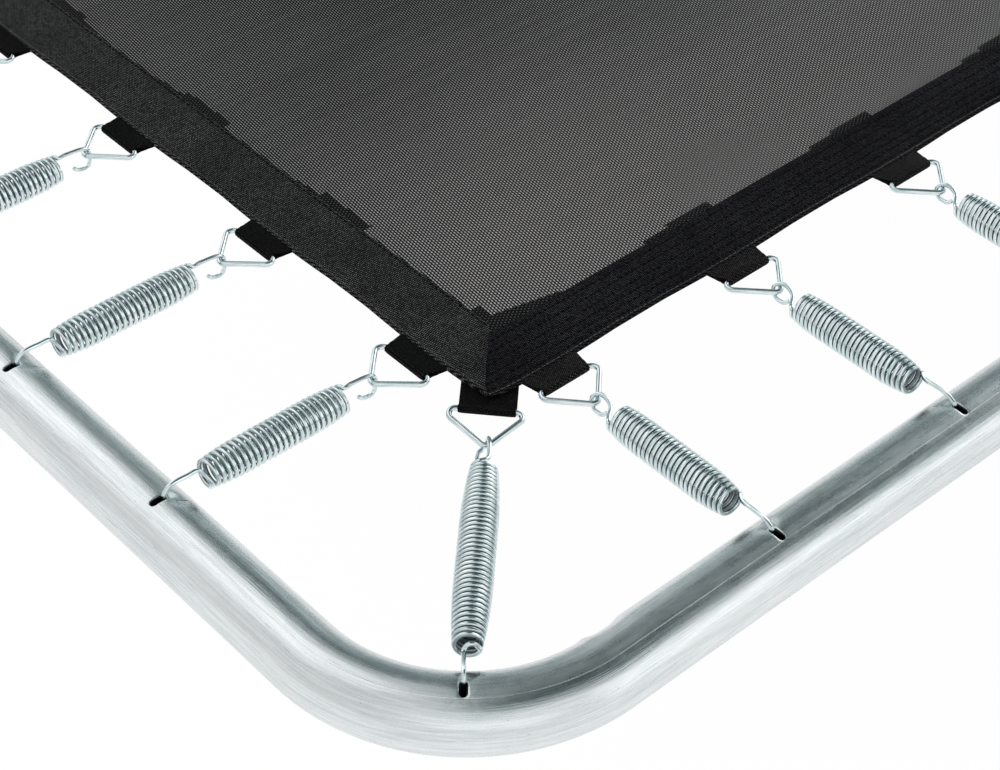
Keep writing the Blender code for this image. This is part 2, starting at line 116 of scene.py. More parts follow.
class Value:
    """One output of a node. Arithmetic on it adds Math nodes."""

    def __init__(self, graph, output):
        self.graph = graph
        self.output = output

    __add__ = maths("ADD")
    __radd__ = maths("ADD", flipped=True)
    __sub__ = maths("SUBTRACT")
    __rsub__ = maths("SUBTRACT", flipped=True)
    __mul__ = maths("MULTIPLY")
    __rmul__ = maths("MULTIPLY", flipped=True)
    __truediv__ = maths("DIVIDE")
    __pow__ = maths("POWER")
    __lt__ = maths("LESS_THAN")
    __gt__ = maths("GREATER_THAN")
    __abs__ = maths("ABSOLUTE")
    whole = maths("FLOOR")
    fraction = maths("FRACT")
    wave = maths("SINE")
    most = maths("MAXIMUM")

    def step(self, low, high):
        """0 below low and 1 above high, smooth between."""
        settings = {"interpolation_type": "SMOOTHSTEP"}
        ends = {"Value": self, "From Min": low, "From Max": high}
        return self.graph.node("ShaderNodeMapRange", settings, ends)


class Graph:
    """A node tree and the shader at its end."""

    def __init__(self, tree):
        self.tree = tree

    def node(self, kind, settings=None, sockets=None, output=0):
        made = self.tree.nodes.new(kind)
        for key, value in (settings or {}).items():
            setattr(made, key, value)
        for key, value in (sockets or {}).items():
            self.feed(made.inputs[key], value)
        return Value(self, made.outputs[output]) if made.outputs else made

    def feed(self, socket, value):
        if isinstance(value, Value):
            self.tree.links.new(value.output, socket)
        else:
            socket.default_value = value

    def blend(self, factor, first, second):
        """A colour between two colours."""
        return self.node(
            "ShaderNodeMix", {"data_type": "RGBA"}, {0: factor, 6: first, 7: second}, output=2
        )

    def parts(self, vector):
        """The three numbers of a vector."""
        split = self.node("ShaderNodeSeparateXYZ", None, {0: vector})
        return [Value(self, out) for out in split.output.node.outputs]

    def stretched(self, vector, scale):
        settings = {"operation": "MULTIPLY"}
        return self.node("ShaderNodeVectorMath", settings, {0: vector, 1: scale})

    def noise(self, vector, scale, detail=2.0, rough=0.5):
        sockets = {"Vector": vector, "Scale": scale, "Detail": detail, "Roughness": rough}
        return self.node("ShaderNodeTexNoise", None, sockets)

    def streaks(self, vector, along, across, detail=2.0, rough=0.5):
        """Noise drawn out along X. The scales are waves in a metre along it and across it."""
        return self.noise(self.stretched(vector, (along, across, across)), 1.0, detail, rough)

    def bump(self, height, distance, strength):
        sockets = {"Height": height, "Distance": distance, "Strength": strength}
        return self.node("ShaderNodeBump", None, sockets)


class Finish(Graph):
    """A material with a Principled shader."""

    def __init__(self, name):
        self.material = bpy.data.materials.new(name)
        self.material.use_nodes = True
        super().__init__(self.material.node_tree)
        self.shader = self.tree.nodes["Principled BSDF"]

    def wear(self, **sockets):
        """Gives the shader's sockets their values or links: Base_Color is the socket Base Color."""
        for key, value in sockets.items():
            self.feed(self.shader.inputs[key.replace("_", " ")], value)
        return self.material

    def own_place(self):
        return self.node("ShaderNodeTexCoord", None, None, output=3)

    def along_piece(self):
        """The point as it would be on the tube laid straight along X, from a stored attribute."""
        return self.node("ShaderNodeAttribute", {"attribute_name": "laid_straight"}, None, output=1)

    def painted_groove_shade(self):
        """The painted shade of a coil: 1 where two turns of a coil face each other and 0 on its outside."""
        return self.node("ShaderNodeAttribute", {"attribute_name": "painted_groove_shade"}, None, output=2)


def rgb(red, green, blue):
    return (red, green, blue, 1.0)


print("shader helpers ready")

# %% [markdown]
# ## The sizes
#
# The lengths below are the ones the CAD model was built with, in metres. They could be read back from
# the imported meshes, but written out they say what drives the shape: the bed, the gap the springs
# bridge, the tube, and the pitch of the springs along each side.

# %% Sizes shared with the CAD model
MAT_LENGTH = 1.946
MAT_WIDTH = 0.941
END_GAP = 0.208
SIDE_GAP = 0.199
RAIL_Z = 0.55
MAT_OVER_RAIL = 0.0216
MAT_Z = RAIL_Z + MAT_OVER_RAIL
TUBE_R = 0.0483 / 2
TUBE_WALL = 0.0023
BEND_R = 0.1236
SPIGOT = 0.055
SWAGE = 0.008
FIT_GAP = 0.0003
RAIL_X = MAT_LENGTH / 2 + END_GAP
RAIL_Y = MAT_WIDTH / 2 + SIDE_GAP
LEG_X = RAIL_X - 0.631
SOCKET_Z = RAIL_Z - TUBE_R - 0.07
FLOOR_BEND_R = 0.1
SOLE_UNDER_BAR = 0.008
BAR_Z = SOLE_UNDER_BAR + TUBE_R + FIT_GAP
POST_Z = BAR_Z + FLOOR_BEND_R + 0.06
FOOT_X = 0.41
CROWN = TUBE_R - MAT_OVER_RAIL

# How far the first spring is from the bed's corner on a long side and on an end.
SIDE_FIRST = 0.0514
END_FIRST = 0.0654
side_stations = np.linspace(SIDE_FIRST - MAT_LENGTH / 2, MAT_LENGTH / 2 - SIDE_FIRST, 12)
end_stations = np.linspace(END_FIRST - MAT_WIDTH / 2, MAT_WIDTH / 2 - END_FIRST, 6)
JOINT_X = -(side_stations[3] + side_stations[4]) / 2


def corner_gap():
    """From the bed's corner to the frame tube's axis, along the diagonal."""
    across = END_GAP - BEND_R
    along = SIDE_GAP - BEND_R
    half = across + along
    return (half + sqrt(half**2 - 2 * (across**2 + along**2 - BEND_R**2))) / sqrt(2)


print("joint at", round(JOINT_X, 4), "corner gap", round(corner_gap(), 4))

# %% [markdown]
# ## Where the springs sit
#
# Forty springs hang the bed: twelve along each long side, six along each end and one on each corner's
# diagonal. Each has its own small frame: s runs outward from the bed's edge, t sideways and z up.
# Everything at a spring is modelled once in that frame and placed forty times, as a maker would use
# one jig for all of them.

# %% Spring stations
class Station:
    """One spring's place: its point on the bed's edge and its outward direction."""

    def __init__(self, name, edge, outward, gap, ring_out):
        self.name = name
        self.edge = np.array(edge)
        self.outward = np.array(outward, float)
        self.sideways = np.cross((0, 0, 1), self.outward)
        self.gap = gap
        self.ring_out = ring_out
        self.at_corner = name.startswith("corner")

    def world(self, points):
        """Points given as (s, t, z) turned into points of the scene."""
        points = np.asarray(points, float)
        axes = np.array((self.outward, self.sideways, (0, 0, 1)))
        return self.edge + points @ axes


SIDE_RING_OUT = 0.0142
CORNER_RING_OUT = 0.0094

stations = []
for word, sign in (("front", -1), ("back", 1)):
    for number, x in enumerate(side_stations, 1):
        at = (x, sign * MAT_WIDTH / 2, MAT_Z)
        stations.append(Station(f"{word}_{number:02d}", at, (0, sign, 0), SIDE_GAP, SIDE_RING_OUT))
for word, sign in (("left", -1), ("right", 1)):
    for number, y in enumerate(end_stations, 1):
        at = (sign * MAT_LENGTH / 2, y, MAT_Z)
        stations.append(Station(f"{word}_{number:02d}", at, (sign, 0, 0), END_GAP, SIDE_RING_OUT))
corner_signs = {
    "front_left": (-1, -1),
    "front_right": (1, -1),
    "back_left": (-1, 1),
    "back_right": (1, 1),
}
for name, (sx, sy) in corner_signs.items():
    at = (sx * MAT_LENGTH / 2, sy * MAT_WIDTH / 2, MAT_Z)
    diagonal = np.array((sx, sy, 0)) / sqrt(2)
    stations.append(Station(f"corner_{name}", at, diagonal, corner_gap(), CORNER_RING_OUT))
print(len(stations), "stations")

# %% [markdown]
# ## Meshes from points
#
# Wire, tube and cloth are all led along a line here, so the first helpers make a mesh from points and
# faces, and lead a round section along a path. A curve object with a bevel would do it too, but plain
# points let later steps dent, cut and taper the shape. The section is carried along the path without
# twist, so the facets never spiral.

# %% Mesh helpers
def as_piece(name, points, faces, finish, sharp=35.0, straight=None, painted_groove_shade=None):
    """A mesh object with outward faces, smooth but for edges sharper than the angle."""
    mesh = bpy.data.meshes.new(name)
    mesh.from_pydata([tuple(p) for p in points], [], [tuple(map(int, f)) for f in faces])
    if straight is not None:
        stored = mesh.attributes.new("laid_straight", "FLOAT_VECTOR", "POINT")
        stored.data.foreach_set("vector", np.asarray(straight, np.float32).ravel())
    if painted_groove_shade is not None:
        stored = mesh.attributes.new("painted_groove_shade", "FLOAT", "POINT")
        stored.data.foreach_set("value", np.asarray(painted_groove_shade, np.float32))
    solid = bmesh.new()
    solid.from_mesh(mesh)
    bmesh.ops.recalc_face_normals(solid, faces=solid.faces)
    solid.to_mesh(mesh)
    solid.free()
    mesh.shade_smooth()
    mesh.set_sharp_from_angle(angle=radians(sharp))
    mesh.materials.append(finish)
    piece = bpy.data.objects.new(name, mesh)
    bpy.context.scene.collection.objects.link(piece)
    return piece


def strip_faces(rows, columns, wrap_columns=False, wrap_rows=False):
    """Quads of a grid of points, row after row."""
    faces = []
    for i in range(rows if wrap_rows else rows - 1):
        here, after = i * columns, (i + 1) % rows * columns
        for j in range(columns if wrap_columns else columns - 1):
            k = (j + 1) % columns
            faces.append((here + j, here + k, after + k, after + j))
    return faces


def ring_faces(one, two):
    """Quads between two closed loops of points."""
    count = len(one)
    return [(one[k], one[(k + 1) % count], two[(k + 1) % count], two[k]) for k in range(count)]


def carried_frames(path, closed=False):
    """At each point of the path, two directions square to it that don't twist round it."""
    after = np.roll(path, -1, 0)
    before = np.roll(path, 1, 0)
    if not closed:
        after[-1] = 2 * path[-1] - path[-2]
        before[0] = 2 * path[0] - path[1]
    ahead = after - before
    ahead /= np.linalg.norm(ahead, axis=1)[:, None]
    start = np.cross(ahead[0], (0.31, 0.17, 0.93))
    first = [start / np.linalg.norm(start)]
    for direction in ahead[1:]:
        side = first[-1] - direction * (first[-1] @ direction)
        first.append(side / np.linalg.norm(side))
    first = np.array(first)
    second = np.cross(ahead, first)
    if closed:
        slip = atan2(first[-1] @ second[0], first[-1] @ first[0])
        turn = -slip * np.arange(len(path)) / len(path)
        first, second = (
            np.cos(turn)[:, None] * first + np.sin(turn)[:, None] * second,
            np.cos(turn)[:, None] * second - np.sin(turn)[:, None] * first,
        )
    return first, second


TIP_OUT = 0.25
TIP_R = 0.72


def wire(path, radius, sides=8, closed=False):
    """Points and faces of a round wire along the path, and where each point would be on the wire laid
    straight. Open ends are cut flat with a small round."""
    path = np.asarray(path, float)
    first, second = carried_frames(path, closed)
    radii = np.full(len(path), radius)
    if not closed:
        tips = []
        for tip, near in (path[:2], path[:-3:-1]):
            out = (tip - near) / np.linalg.norm(tip - near)
            tips.append(tip + out * radius * TIP_OUT)
        path = np.vstack((tips[0], path, tips[1]))
        first = np.vstack((first[:1], first, first[-1:]))
        second = np.vstack((second[:1], second, second[-1:]))
        radii = np.concatenate(((radius * TIP_R,), radii, (radius * TIP_R,)))
    turns = tau * np.arange(sides) / sides
    sideways, upward = np.cos(turns), np.sin(turns)
    rounds = sideways[None, :, None] * first[:, None] + upward[None, :, None] * second[:, None]
    points = (path[:, None] + radii[:, None, None] * rounds).reshape(-1, 3)
    walked = np.cumsum(np.linalg.norm(np.diff(path, axis=0, prepend=path[:1]), axis=1))
    laid = np.empty((len(path), sides, 3))
    laid[..., 0] = walked[:, None]
    laid[..., 1] = radii[:, None] * sideways
    laid[..., 2] = radii[:, None] * upward
    faces = strip_faces(len(path), sides, wrap_columns=True, wrap_rows=closed)
    if not closed:
        faces.append(tuple(range(sides)))
        faces.append(tuple(len(points) - sides + k for k in range(sides)))
    return points, faces, laid.reshape(-1, 3)


print("mesh helpers ready")

# %% [markdown]
# ## Hot-dip galvanised steel
#
# The frame tube was rolled from strip, welded along its length, bent and then dipped in molten zinc. Up
# close it carries fine lines along its length, soft pale and dark bands, a few dark pits and the pale
# line of the weld. All of these follow the tube round its bends, so the pattern is laid on the tube as if
# it were straight and not on the room's axes.
# The fine lines also tilt the surface a little from side to side, which smears every reflection across
# the tube and not along it.

# %% Galvanised steel
SEAM_ACROSS = 0.0076


def galvanised_steel():
    steel = Finish("galvanised_steel")
    place = steel.along_piece()
    _, across, above = steel.parts(place)
    fine = steel.streaks(place, 25.0, 2400.0, 2.0, 0.6)
    lines = steel.streaks(place, 26.0, 700.0, 3.0, 0.65)
    bands = steel.streaks(place, 5.0, 130.0)
    clouds = steel.streaks(place, 90.0, 150.0, 4.0, 0.65)
    grain = steel.noise(place, 1300.0, 2.0, 0.6)
    pits = steel.streaks(place, 520.0, 1300.0, 1.0).step(0.77, 0.81)
    scratch = steel.streaks(place, 42.0, 1500.0, 1.0).step(0.74, 0.79)
    stain = steel.streaks(place, 14.0, 30.0, 3.0, 0.6).step(0.64, 0.74)
    wander = steel.streaks(place, 9.0, 0.0, 1.0)
    off_seam = abs(across - SEAM_ACROSS + 0.0003 * (wander - 0.5))
    seam = (1.0 - off_seam.step(0.00012, 0.00032)) * (above > 0.0)
    mottle = clouds.step(0.22, 0.78)
    lined = 0.34 * lines.step(0.3, 0.7) + 0.22 * bands.step(0.25, 0.7)
    pale = 0.08 + lined + 0.08 * mottle + 0.34 * grain
    metal = steel.blend(pale, rgb(0.44, 0.50, 0.515), rgb(0.91, 0.93, 0.935))
    metal = steel.blend((0.55 * pits).most(0.45 * scratch), metal, rgb(0.10, 0.11, 0.115))
    metal = steel.blend(stain * 0.35, metal, rgb(0.58, 0.53, 0.40))
    metal = steel.blend(seam * 0.7, metal, rgb(0.97, 0.98, 0.98))
    relief = 0.6 * lines + 0.4 * fine + 0.15 * grain - 0.3 * pits + 0.45 * seam
    return steel.wear(
        Base_Color=metal,
        Metallic=1.0,
        Roughness=0.20 + 0.10 * bands.step(0.2, 0.8) + 0.05 * mottle,
        Normal=steel.bump(relief, 0.00030, 0.60),
    )


GALVANISED = galvanised_steel()
print("finish", GALVANISED.name)

# %% [markdown]
# ## A tube that bends in one plane
#
# Each frame tube is straights with at most two bends in a single plane. The class below answers where
# the tube's middle is after a given length, and which way is outward there. With that, any spot on the tube
# is a length, an angle round the tube and a depth, and the same three numbers place slots and dents.

# %% Tube paths
class TubePath:
    """A centre-line from a start point and heading, through straights and bends in one plane."""

    def __init__(self, start, heading, normal, turn):
        self.normal = np.array(normal, float)
        self.turn = turn
        self.pieces = []
        self.length = 0.0
        self.point = np.array(start, float)
        self.heading = np.array(heading, float)

    def outward_of(self, heading):
        return self.turn * np.cross(heading, self.normal)

    def straight(self, length):
        self.pieces.append((self.length, length, None, self.point, self.heading))
        self.point = self.point + length * self.heading
        self.length += length
        return self

    def bend(self, radius, degrees=90.0):
        length = radius * radians(degrees)
        self.pieces.append((self.length, length, radius, self.point, self.heading))
        outward = self.outward_of(self.heading)
        turned = radians(degrees)
        centre = self.point - radius * outward
        self.point = centre + radius * (cos(turned) * outward + sin(turned) * self.heading)
        self.heading = cos(turned) * self.heading - sin(turned) * outward
        self.length += length
        return self

    def at(self, distance):
        """The middle of the tube and its outward direction after this length."""
        for start, length, radius, point, heading in self.pieces:
            if distance <= start + length + 1e-9:
                break
        along = distance - start
        outward = self.outward_of(heading)
        if radius is None:
            return point + along * heading, outward
        turned = along / radius
        here = cos(turned) * outward + sin(turned) * heading
        return point - radius * outward + radius * here, here

# %% [markdown]
# ## Slots and dents
#
# Every spring hooks into a slot punched across the tube's crown. The punch leaves a rolled lip and a
# shallow dent at the slot's inner end, and the bending tool's clamp leaves a flat where the bend begins.
# A dent or a flat is a smooth hollow round a middle, so a few rows of numbers describe them all.

# %% Slots and dents
TUBE_SIDES = 48
PATCH_COLUMNS = 6
PATCH_ROWS = 6
PATCH_STEP = 0.0015
SLOT_WIDTH = 0.0052
SLOT_INNER = 0.0046
SLOT_OUTER = 0.0073
LIP = 0.0004

# How far along the tube a slot is, and the side of it on which the punch dented the wall.
Slot = namedtuple("Slot", "distance hook_side")

# Each dent's depth, its middle along the tube (the part that follows the hook's side, and the part that
# doesn't), its spread along, its middle across and its spread across. Where the depth is negative, metal
# was pushed up.
DENTS = (
    (0.00120, 0.0045, 0.0, 0.0040, -0.0085, 0.0034),
    (-0.00030, 0.0045, 0.008, 0.003, -0.0075, 0.003),
    (0.00035, 0.0, 0.0, 0.005, -0.002, 0.006),
)
DENT_REACH = 0.03
CLAMP_ANGLE = radians(-62)
CLAMP_SPREAD = 0.42
CLAMP_REACH = 0.04

# The clamp's flat and the low ridge beyond it: depth, middle along the tube, spread along it, and the
# power that makes the ends steep.
CLAMP_PRESSES = ((0.0018, 0.0, 0.011, 4), (-0.0006, 0.015, 0.004, 2))
RIM_SHARES = (0.4, 0.68, 0.87, 1.0)


def slot_outline(count, grow):
    """The slot's outline as (along the tube, across it), grown by so much, in order round it. It
    starts at the outer end, and each quarter has the same number of points."""
    half = SLOT_WIDTH / 2 + grow
    quarter_turn = half * pi / 2
    outer, inner = SLOT_OUTER - SLOT_WIDTH / 2, SLOT_WIDTH / 2 - SLOT_INNER
    middle = (outer + inner) / 2
    outline = []
    for sign, up in ((1, 1), (1, -1), (-1, -1), (-1, 1)):
        top = outer if up > 0 else inner
        length = quarter_turn + abs(top - middle)
        for k in range(count):
            walk = length * k / count
            if sign != up:
                walk = length - walk
            if walk < quarter_turn:
                a = walk / half
                outline.append((sign * half * sin(a), top + up * half * cos(a)))
            else:
                outline.append((sign * half, top - up * (walk - quarter_turn)))
    return outline


def dent_depth(slots, distance, angle):
    """How deep the punch and the bender pressed the wall here."""
    across = TUBE_R * angle
    depth = 0.0
    for slot in slots:
        along = distance - slot.distance
        if abs(along) < DENT_REACH:
            for deep, beside, past, spread, middle, width in DENTS:
                off = (along - slot.hook_side * beside - past) / spread
                depth += deep * np.exp(-(off**2) - ((across - middle) / width) ** 2)
    return depth


def clamp_mark(marks, distance, angle):
    """The flat the bending tool's clamp leaves on the inner side at the start of a bend."""
    depth = 0.0
    for mark in marks:
        along = distance - mark
        if abs(along) < CLAMP_REACH:
            inner = np.exp(-(((angle - CLAMP_ANGLE) / CLAMP_SPREAD) ** 2))
            for deep, past, spread, power in CLAMP_PRESSES:
                depth += deep * inner * np.exp(-(((along - past) / spread) ** power))
    return depth


print("slots", round(1000 * SLOT_WIDTH, 1), "mm wide, with", len(DENTS), "dents each")

# %% [markdown]
# ## Tubes with slots and swaged ends
#
# A tube is a grid of points, once for its outside and once for its bore. A Boolean cut would leave thin
# faces that spoil the reflection, so the grid is opened round each slot instead: rings of faces flow from
# the grid's square hole into the rounded slot, over its lip and through the wall. A swage is the end of a
# tube squeezed narrower so that it slides into the next tube.

# %% Tube builder
def round_tube(name, path, swages=(False, False), slots=(), marks=()):
    """A galvanised tube with its inner wall, open ends, swaged ends, slots and dents."""
    angles = tau * (np.arange(TUBE_SIDES) / TUBE_SIDES - 0.5)
    rows = tube_rows(path, slots, marks, swages)
    spigot = TUBE_R - TUBE_WALL - FIT_GAP
    points, laid, faces = [], [], []

    def radius_at(distance):
        least = TUBE_R
        for swaged, inward in zip(swages, (distance, path.length - distance)):
            if swaged:
                f = min(max((inward - SPIGOT) / SWAGE, 0.0), 1.0)
                least = min(least, spigot + (TUBE_R - spigot) * f * f * (3 - 2 * f))
        return least

    def add(distance, angle, depth):
        """Adds the point this deep under the surface and gives its number."""
        middle, outward = path.at(distance)
        pressed = dent_depth(slots, distance, angle) + clamp_mark(marks, distance, angle)
        radius = radius_at(distance) - depth - pressed
        points.append(middle + radius * (sin(angle) * outward + cos(angle) * path.normal))
        laid.append((distance, radius * sin(angle), radius * cos(angle)))
        return len(points) - 1

    crown = TUBE_SIDES // 2
    patches = [(slot, int(np.argmin(np.abs(np.array(rows) - slot.distance)))) for slot in slots]
    holes = {
        (row + i, crown + j)
        for _, row in patches
        for i in range(-PATCH_ROWS, PATCH_ROWS)
        for j in range(-PATCH_COLUMNS, PATCH_COLUMNS)
    }
    bare = {(i, j) for i, j in holes if (i - 1, j - 1) in holes}
    skins = []
    for depth in (0.0, TUBE_WALL):
        grid = [
            [None if (i, j) in bare else add(distance, angle, depth) for j, angle in enumerate(angles)]
            for i, distance in enumerate(rows)
        ]
        for i, (here, after) in enumerate(zip(grid, grid[1:])):
            faces += [face for j, face in enumerate(ring_faces(here, after)) if (i, j) not in holes]
        skins.append(grid)
    for end in (0, -1):
        faces += ring_faces(skins[0][end], skins[1][end])

    quarter = PATCH_ROWS + PATCH_COLUMNS
    for slot, row in patches:
        border = patch_border(row, crown)
        rims = []
        for grid, depth, lip in ((skins[0], 0.0, LIP), (skins[1], TUBE_WALL, 0.0)):
            loops = [[grid[i][j] for i, j in border]]
            for share in RIM_SHARES:
                loop = []
                for (i, j), (along, across) in zip(border, slot_outline(quarter, lip)):
                    from_border = np.array((rows[i], angles[j]))
                    to_slot = np.array((slot.distance + along, np.arcsin(across / TUBE_R)))
                    loop.append(add(*(from_border + share * (to_slot - from_border)), depth))
                loops.append(loop)
            if lip:
                for grown, down in ((lip * 0.3, lip * 0.3), (0.0, lip)):
                    loops.append([
                        add(slot.distance + along, np.arcsin(across / TUBE_R), down)
                        for along, across in slot_outline(quarter, grown)
                    ])
            for one, two in zip(loops, loops[1:]):
                faces += ring_faces(one, two)
            rims.append(loops[-1])
        faces += ring_faces(*rims)
    return as_piece(name, points, faces, GALVANISED, 40.0, laid)


def patch_border(row, column):
    """The grid points round a slot's patch, from the middle of its outer side, in order."""
    rows, columns = PATCH_ROWS, PATCH_COLUMNS
    corners = [(0, columns), (rows, columns), (rows, -columns), (-rows, -columns), (-rows, columns)]
    border = []
    for (i, j), (ii, jj) in zip(corners, corners[1:] + corners[:1]):
        steps = max(abs(ii - i), abs(jj - j))
        for k in range(steps):
            border.append((row + i + (ii - i) * k // steps, column + j + (jj - j) * k // steps))
    return border


def tube_rows(path, slots, marks, swages):
    """Lengths at which the tube gets a ring of points: close together at slots, marks, bends and
    swages, and wide apart between them."""
    rows = {0.0, path.length}
    for start, length, radius, _, _ in path.pieces:
        step = 0.015 if radius is None else radius * radians(3.0)
        rows |= set(np.linspace(start, start + length, max(2, round(length / step) + 1)))
    for mark in marks:
        rows |= set(mark + np.arange(-13, 14) * 0.002)
    for swaged, start, sign in ((swages[0], 0.0, 1), (swages[1], path.length, -1)):
        if swaged:
            rows |= set(start + sign * (SPIGOT + SWAGE * np.linspace(0, 1, 7)))
    patch = PATCH_STEP * np.arange(-PATCH_ROWS, PATCH_ROWS + 1)
    clear = patch[-1] + 0.0004
    rows = {r for r in rows if all(abs(r - slot.distance) > clear for slot in slots)}
    for slot in slots:
        rows |= set(slot.distance + patch)
    tidy = []
    for r in sorted(rows):
        if not tidy or r - tidy[-1] > 0.0003:
            tidy.append(float(r))
    return tidy


print("tube builder ready")

# %% [markdown]
# ## The frame's six rails
#
# The rectangle is four bent corners joined by two straight tubes on the long sides. A swaged end of each
# corner slides into its neighbour. The joints fall midway between two springs, so no slot is cut through
# the overlap.

# %% Rails
CLAMP_BACK = 0.012


def corner_rail(name, sx, sy):
    """One bent corner, from its joint on the long side round to the middle of the end."""
    start = (sx * (JOINT_X + FIT_GAP - SPIGOT), sy * RAIL_Y, RAIL_Z)
    front = sy < 0
    path = TubePath(start, (sx, 0, 0), (0, 0, 1), -sx * sy)
    path.straight(RAIL_X - BEND_R - JOINT_X - FIT_GAP + SPIGOT).bend(BEND_R)
    path.straight(RAIL_Y - BEND_R + (SPIGOT - FIT_GAP if front else 0.0))
    bend_start, end_start = path.pieces[1][0], path.pieces[2][0]
    slots = []
    for number, station in enumerate(stations):
        crown = station.edge + station.outward * station.gap
        if crown[0] * sx < JOINT_X or crown[1] * sy < 0:
            continue
        if station.at_corner:
            turned = atan2(abs(crown[0]) - (RAIL_X - BEND_R), abs(crown[1]) - (RAIL_Y - BEND_R))
            distance = bend_start + BEND_R * turned
        elif abs(station.outward[1]) > 0.5:
            distance = abs(crown[0]) - abs(start[0])
        else:
            distance = end_start + RAIL_Y - BEND_R - abs(crown[1])
        slots.append(Slot(distance, 1 if number % 3 else -1))
    return round_tube(name, path, (True, front), slots, (bend_start - CLAMP_BACK,))


rails = {}
for name, (sx, sy) in corner_signs.items():
    rails[name] = corner_rail(f"rail_{name}_steel", sx, sy)
    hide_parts(f"rail_{name}")
for word, sy in (("front", -1), ("back", 1)):
    path = TubePath((-JOINT_X, sy * RAIL_Y, RAIL_Z), (1, 0, 0), (0, 0, 1), -sy)
    path.straight(2 * JOINT_X)
    slots = [Slot(x + JOINT_X, 1) for x in side_stations if abs(x) < JOINT_X]
    rails[word] = round_tube(f"rail_{word}_middle_steel", path, slots=slots)
    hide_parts(f"rail_{word}_middle")
for rail in rails.values():
    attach(rail, "frame")
print(len(rails), "rails with", sum(len(r.data.polygons) for r in rails.values()), "faces")

# %% [markdown]
# ## Sockets and their welds
#
# Under each corner rail a short stub of the same tube is welded on to take a leg. Its top is cut to the
# rail's curve, which leaves no gap, and the weld is a rippled bead laid round that saddle. The saddle's
# height follows from two equal tubes crossing at right angles, so it needs no Boolean.

# %% Sockets
SOCKET_SIDES = 48
WELD_BITE = 0.0003
BEAD_R = 0.0023
BEAD_POINTS = 240
BEAD_DROPS = 46
BEAD_RIPPLE = 0.00035


def saddle(angle, radius=TUBE_R):
    """A spot on the curve where an upright tube meets the rail above it, seen from the leg's axis."""
    y = radius * sin(angle)
    return radius * cos(angle), y, RAIL_Z - sqrt(max(TUBE_R**2 - y * y, 0.0))


def leg_socket(name, x, y):
    """The stub under a rail: up its outside to the saddle, and down its bore."""
    levels = np.linspace(0.0, 1.0, 13)
    points, laid = [], []
    for radius, climb in ((TUBE_R, levels), (TUBE_R - TUBE_WALL, levels[::-1])):
        for level in climb:
            for angle in tau * np.arange(SOCKET_SIDES) / SOCKET_SIDES:
                sx, sy, top = saddle(angle, radius)
                z = SOCKET_Z + level * (top + WELD_BITE - SOCKET_Z)
                points.append((x + sx, y + sy, z))
                laid.append((z, radius * sin(angle), radius * cos(angle)))
    faces = strip_faces(2 * len(levels), SOCKET_SIDES, wrap_columns=True, wrap_rows=True)
    return as_piece(name, points, faces, GALVANISED, 40.0, laid)


def weld_bead(name, x, y):
    """A bead with a ripple for each drop of weld metal."""
    path = []
    for angle in tau * np.arange(BEAD_POINTS) / BEAD_POINTS:
        ripple = BEAD_RIPPLE * sin(angle * BEAD_DROPS)
        sx, sy, z = saddle(angle)
        path.append((x + sx * (1 + ripple / TUBE_R), y + sy * 0.995, z - 2 * WELD_BITE + ripple))
    points, faces, laid = wire(path, BEAD_R, 10, closed=True)
    return as_piece(name, points, faces, GALVANISED, 60.0, laid)


for name, (sx, sy) in corner_signs.items():
    for piece in (
        leg_socket(f"socket_{name}", sx * LEG_X, sy * RAIL_Y),
        weld_bead(f"weld_{name}", sx * LEG_X, sy * RAIL_Y),
    ):
        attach(piece, "frame")
        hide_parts(f"rail_{name}")
print("sockets from", round(SOCKET_Z, 4), "to the rail")

# %% [markdown]
# ## Legs
#
# A leg post's swaged top goes up into the socket, and its foot sits on a swaged end of the floor bar. The
# floor bar is one tube with two bends that joins two legs, so that the frame can't splay. Both come
# from the same tube builder as the rails.

# %% Posts and floor bars
for name, (sx, sy) in corner_signs.items():
    path = TubePath((sx * LEG_X, sy * RAIL_Y, POST_Z), (0, 0, 1), (0, 1, 0), 1)
    path.straight(SOCKET_Z - FIT_GAP + SPIGOT - POST_Z)
    post = round_tube(f"leg_post_{name}_steel", path, (False, True))
    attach(post, "frame")
    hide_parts(f"leg_post_{name}")
for word, sy in (("front", -1), ("back", 1)):
    path = TubePath((-LEG_X, sy * RAIL_Y, POST_Z - FIT_GAP + SPIGOT), (0, 0, -1), (0, 1, 0), -1)
    rise = POST_Z - FIT_GAP + SPIGOT - BAR_Z - FLOOR_BEND_R
    path.straight(rise).bend(FLOOR_BEND_R).straight(2 * (LEG_X - FLOOR_BEND_R))
    path.bend(FLOOR_BEND_R).straight(rise)
    bar = round_tube(f"floor_bar_{word}_steel", path, (True, True))
    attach(bar, "frame")
    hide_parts(f"floor_bar_{word}")
    print("floor bar", word, "reaches", [round(v, 3) for v in bar.dimensions])

# %% [markdown]
# ## Rubber feet
#
# Each foot is a moulded sleeve with a flat sole and ribs round it. Moulded rubber is matt, a little paler
# where it has rubbed, and it picks up dust. The section is drawn once and swept along the bar with a
# larger rim at both ends and grooves between.

# %% Feet
FOOT_LENGTH = 0.060
FOOT_WALL = 0.006
FOOT_REACH = TUBE_R + FIT_GAP + FOOT_WALL
FOOT_RIBS = 0.010
RIB_GROOVE = 0.0016
PLAIN_RIM = 0.006
RIM_ROUND = 0.0012
RIM_DROP = 0.0008
SOLE_R = 0.004


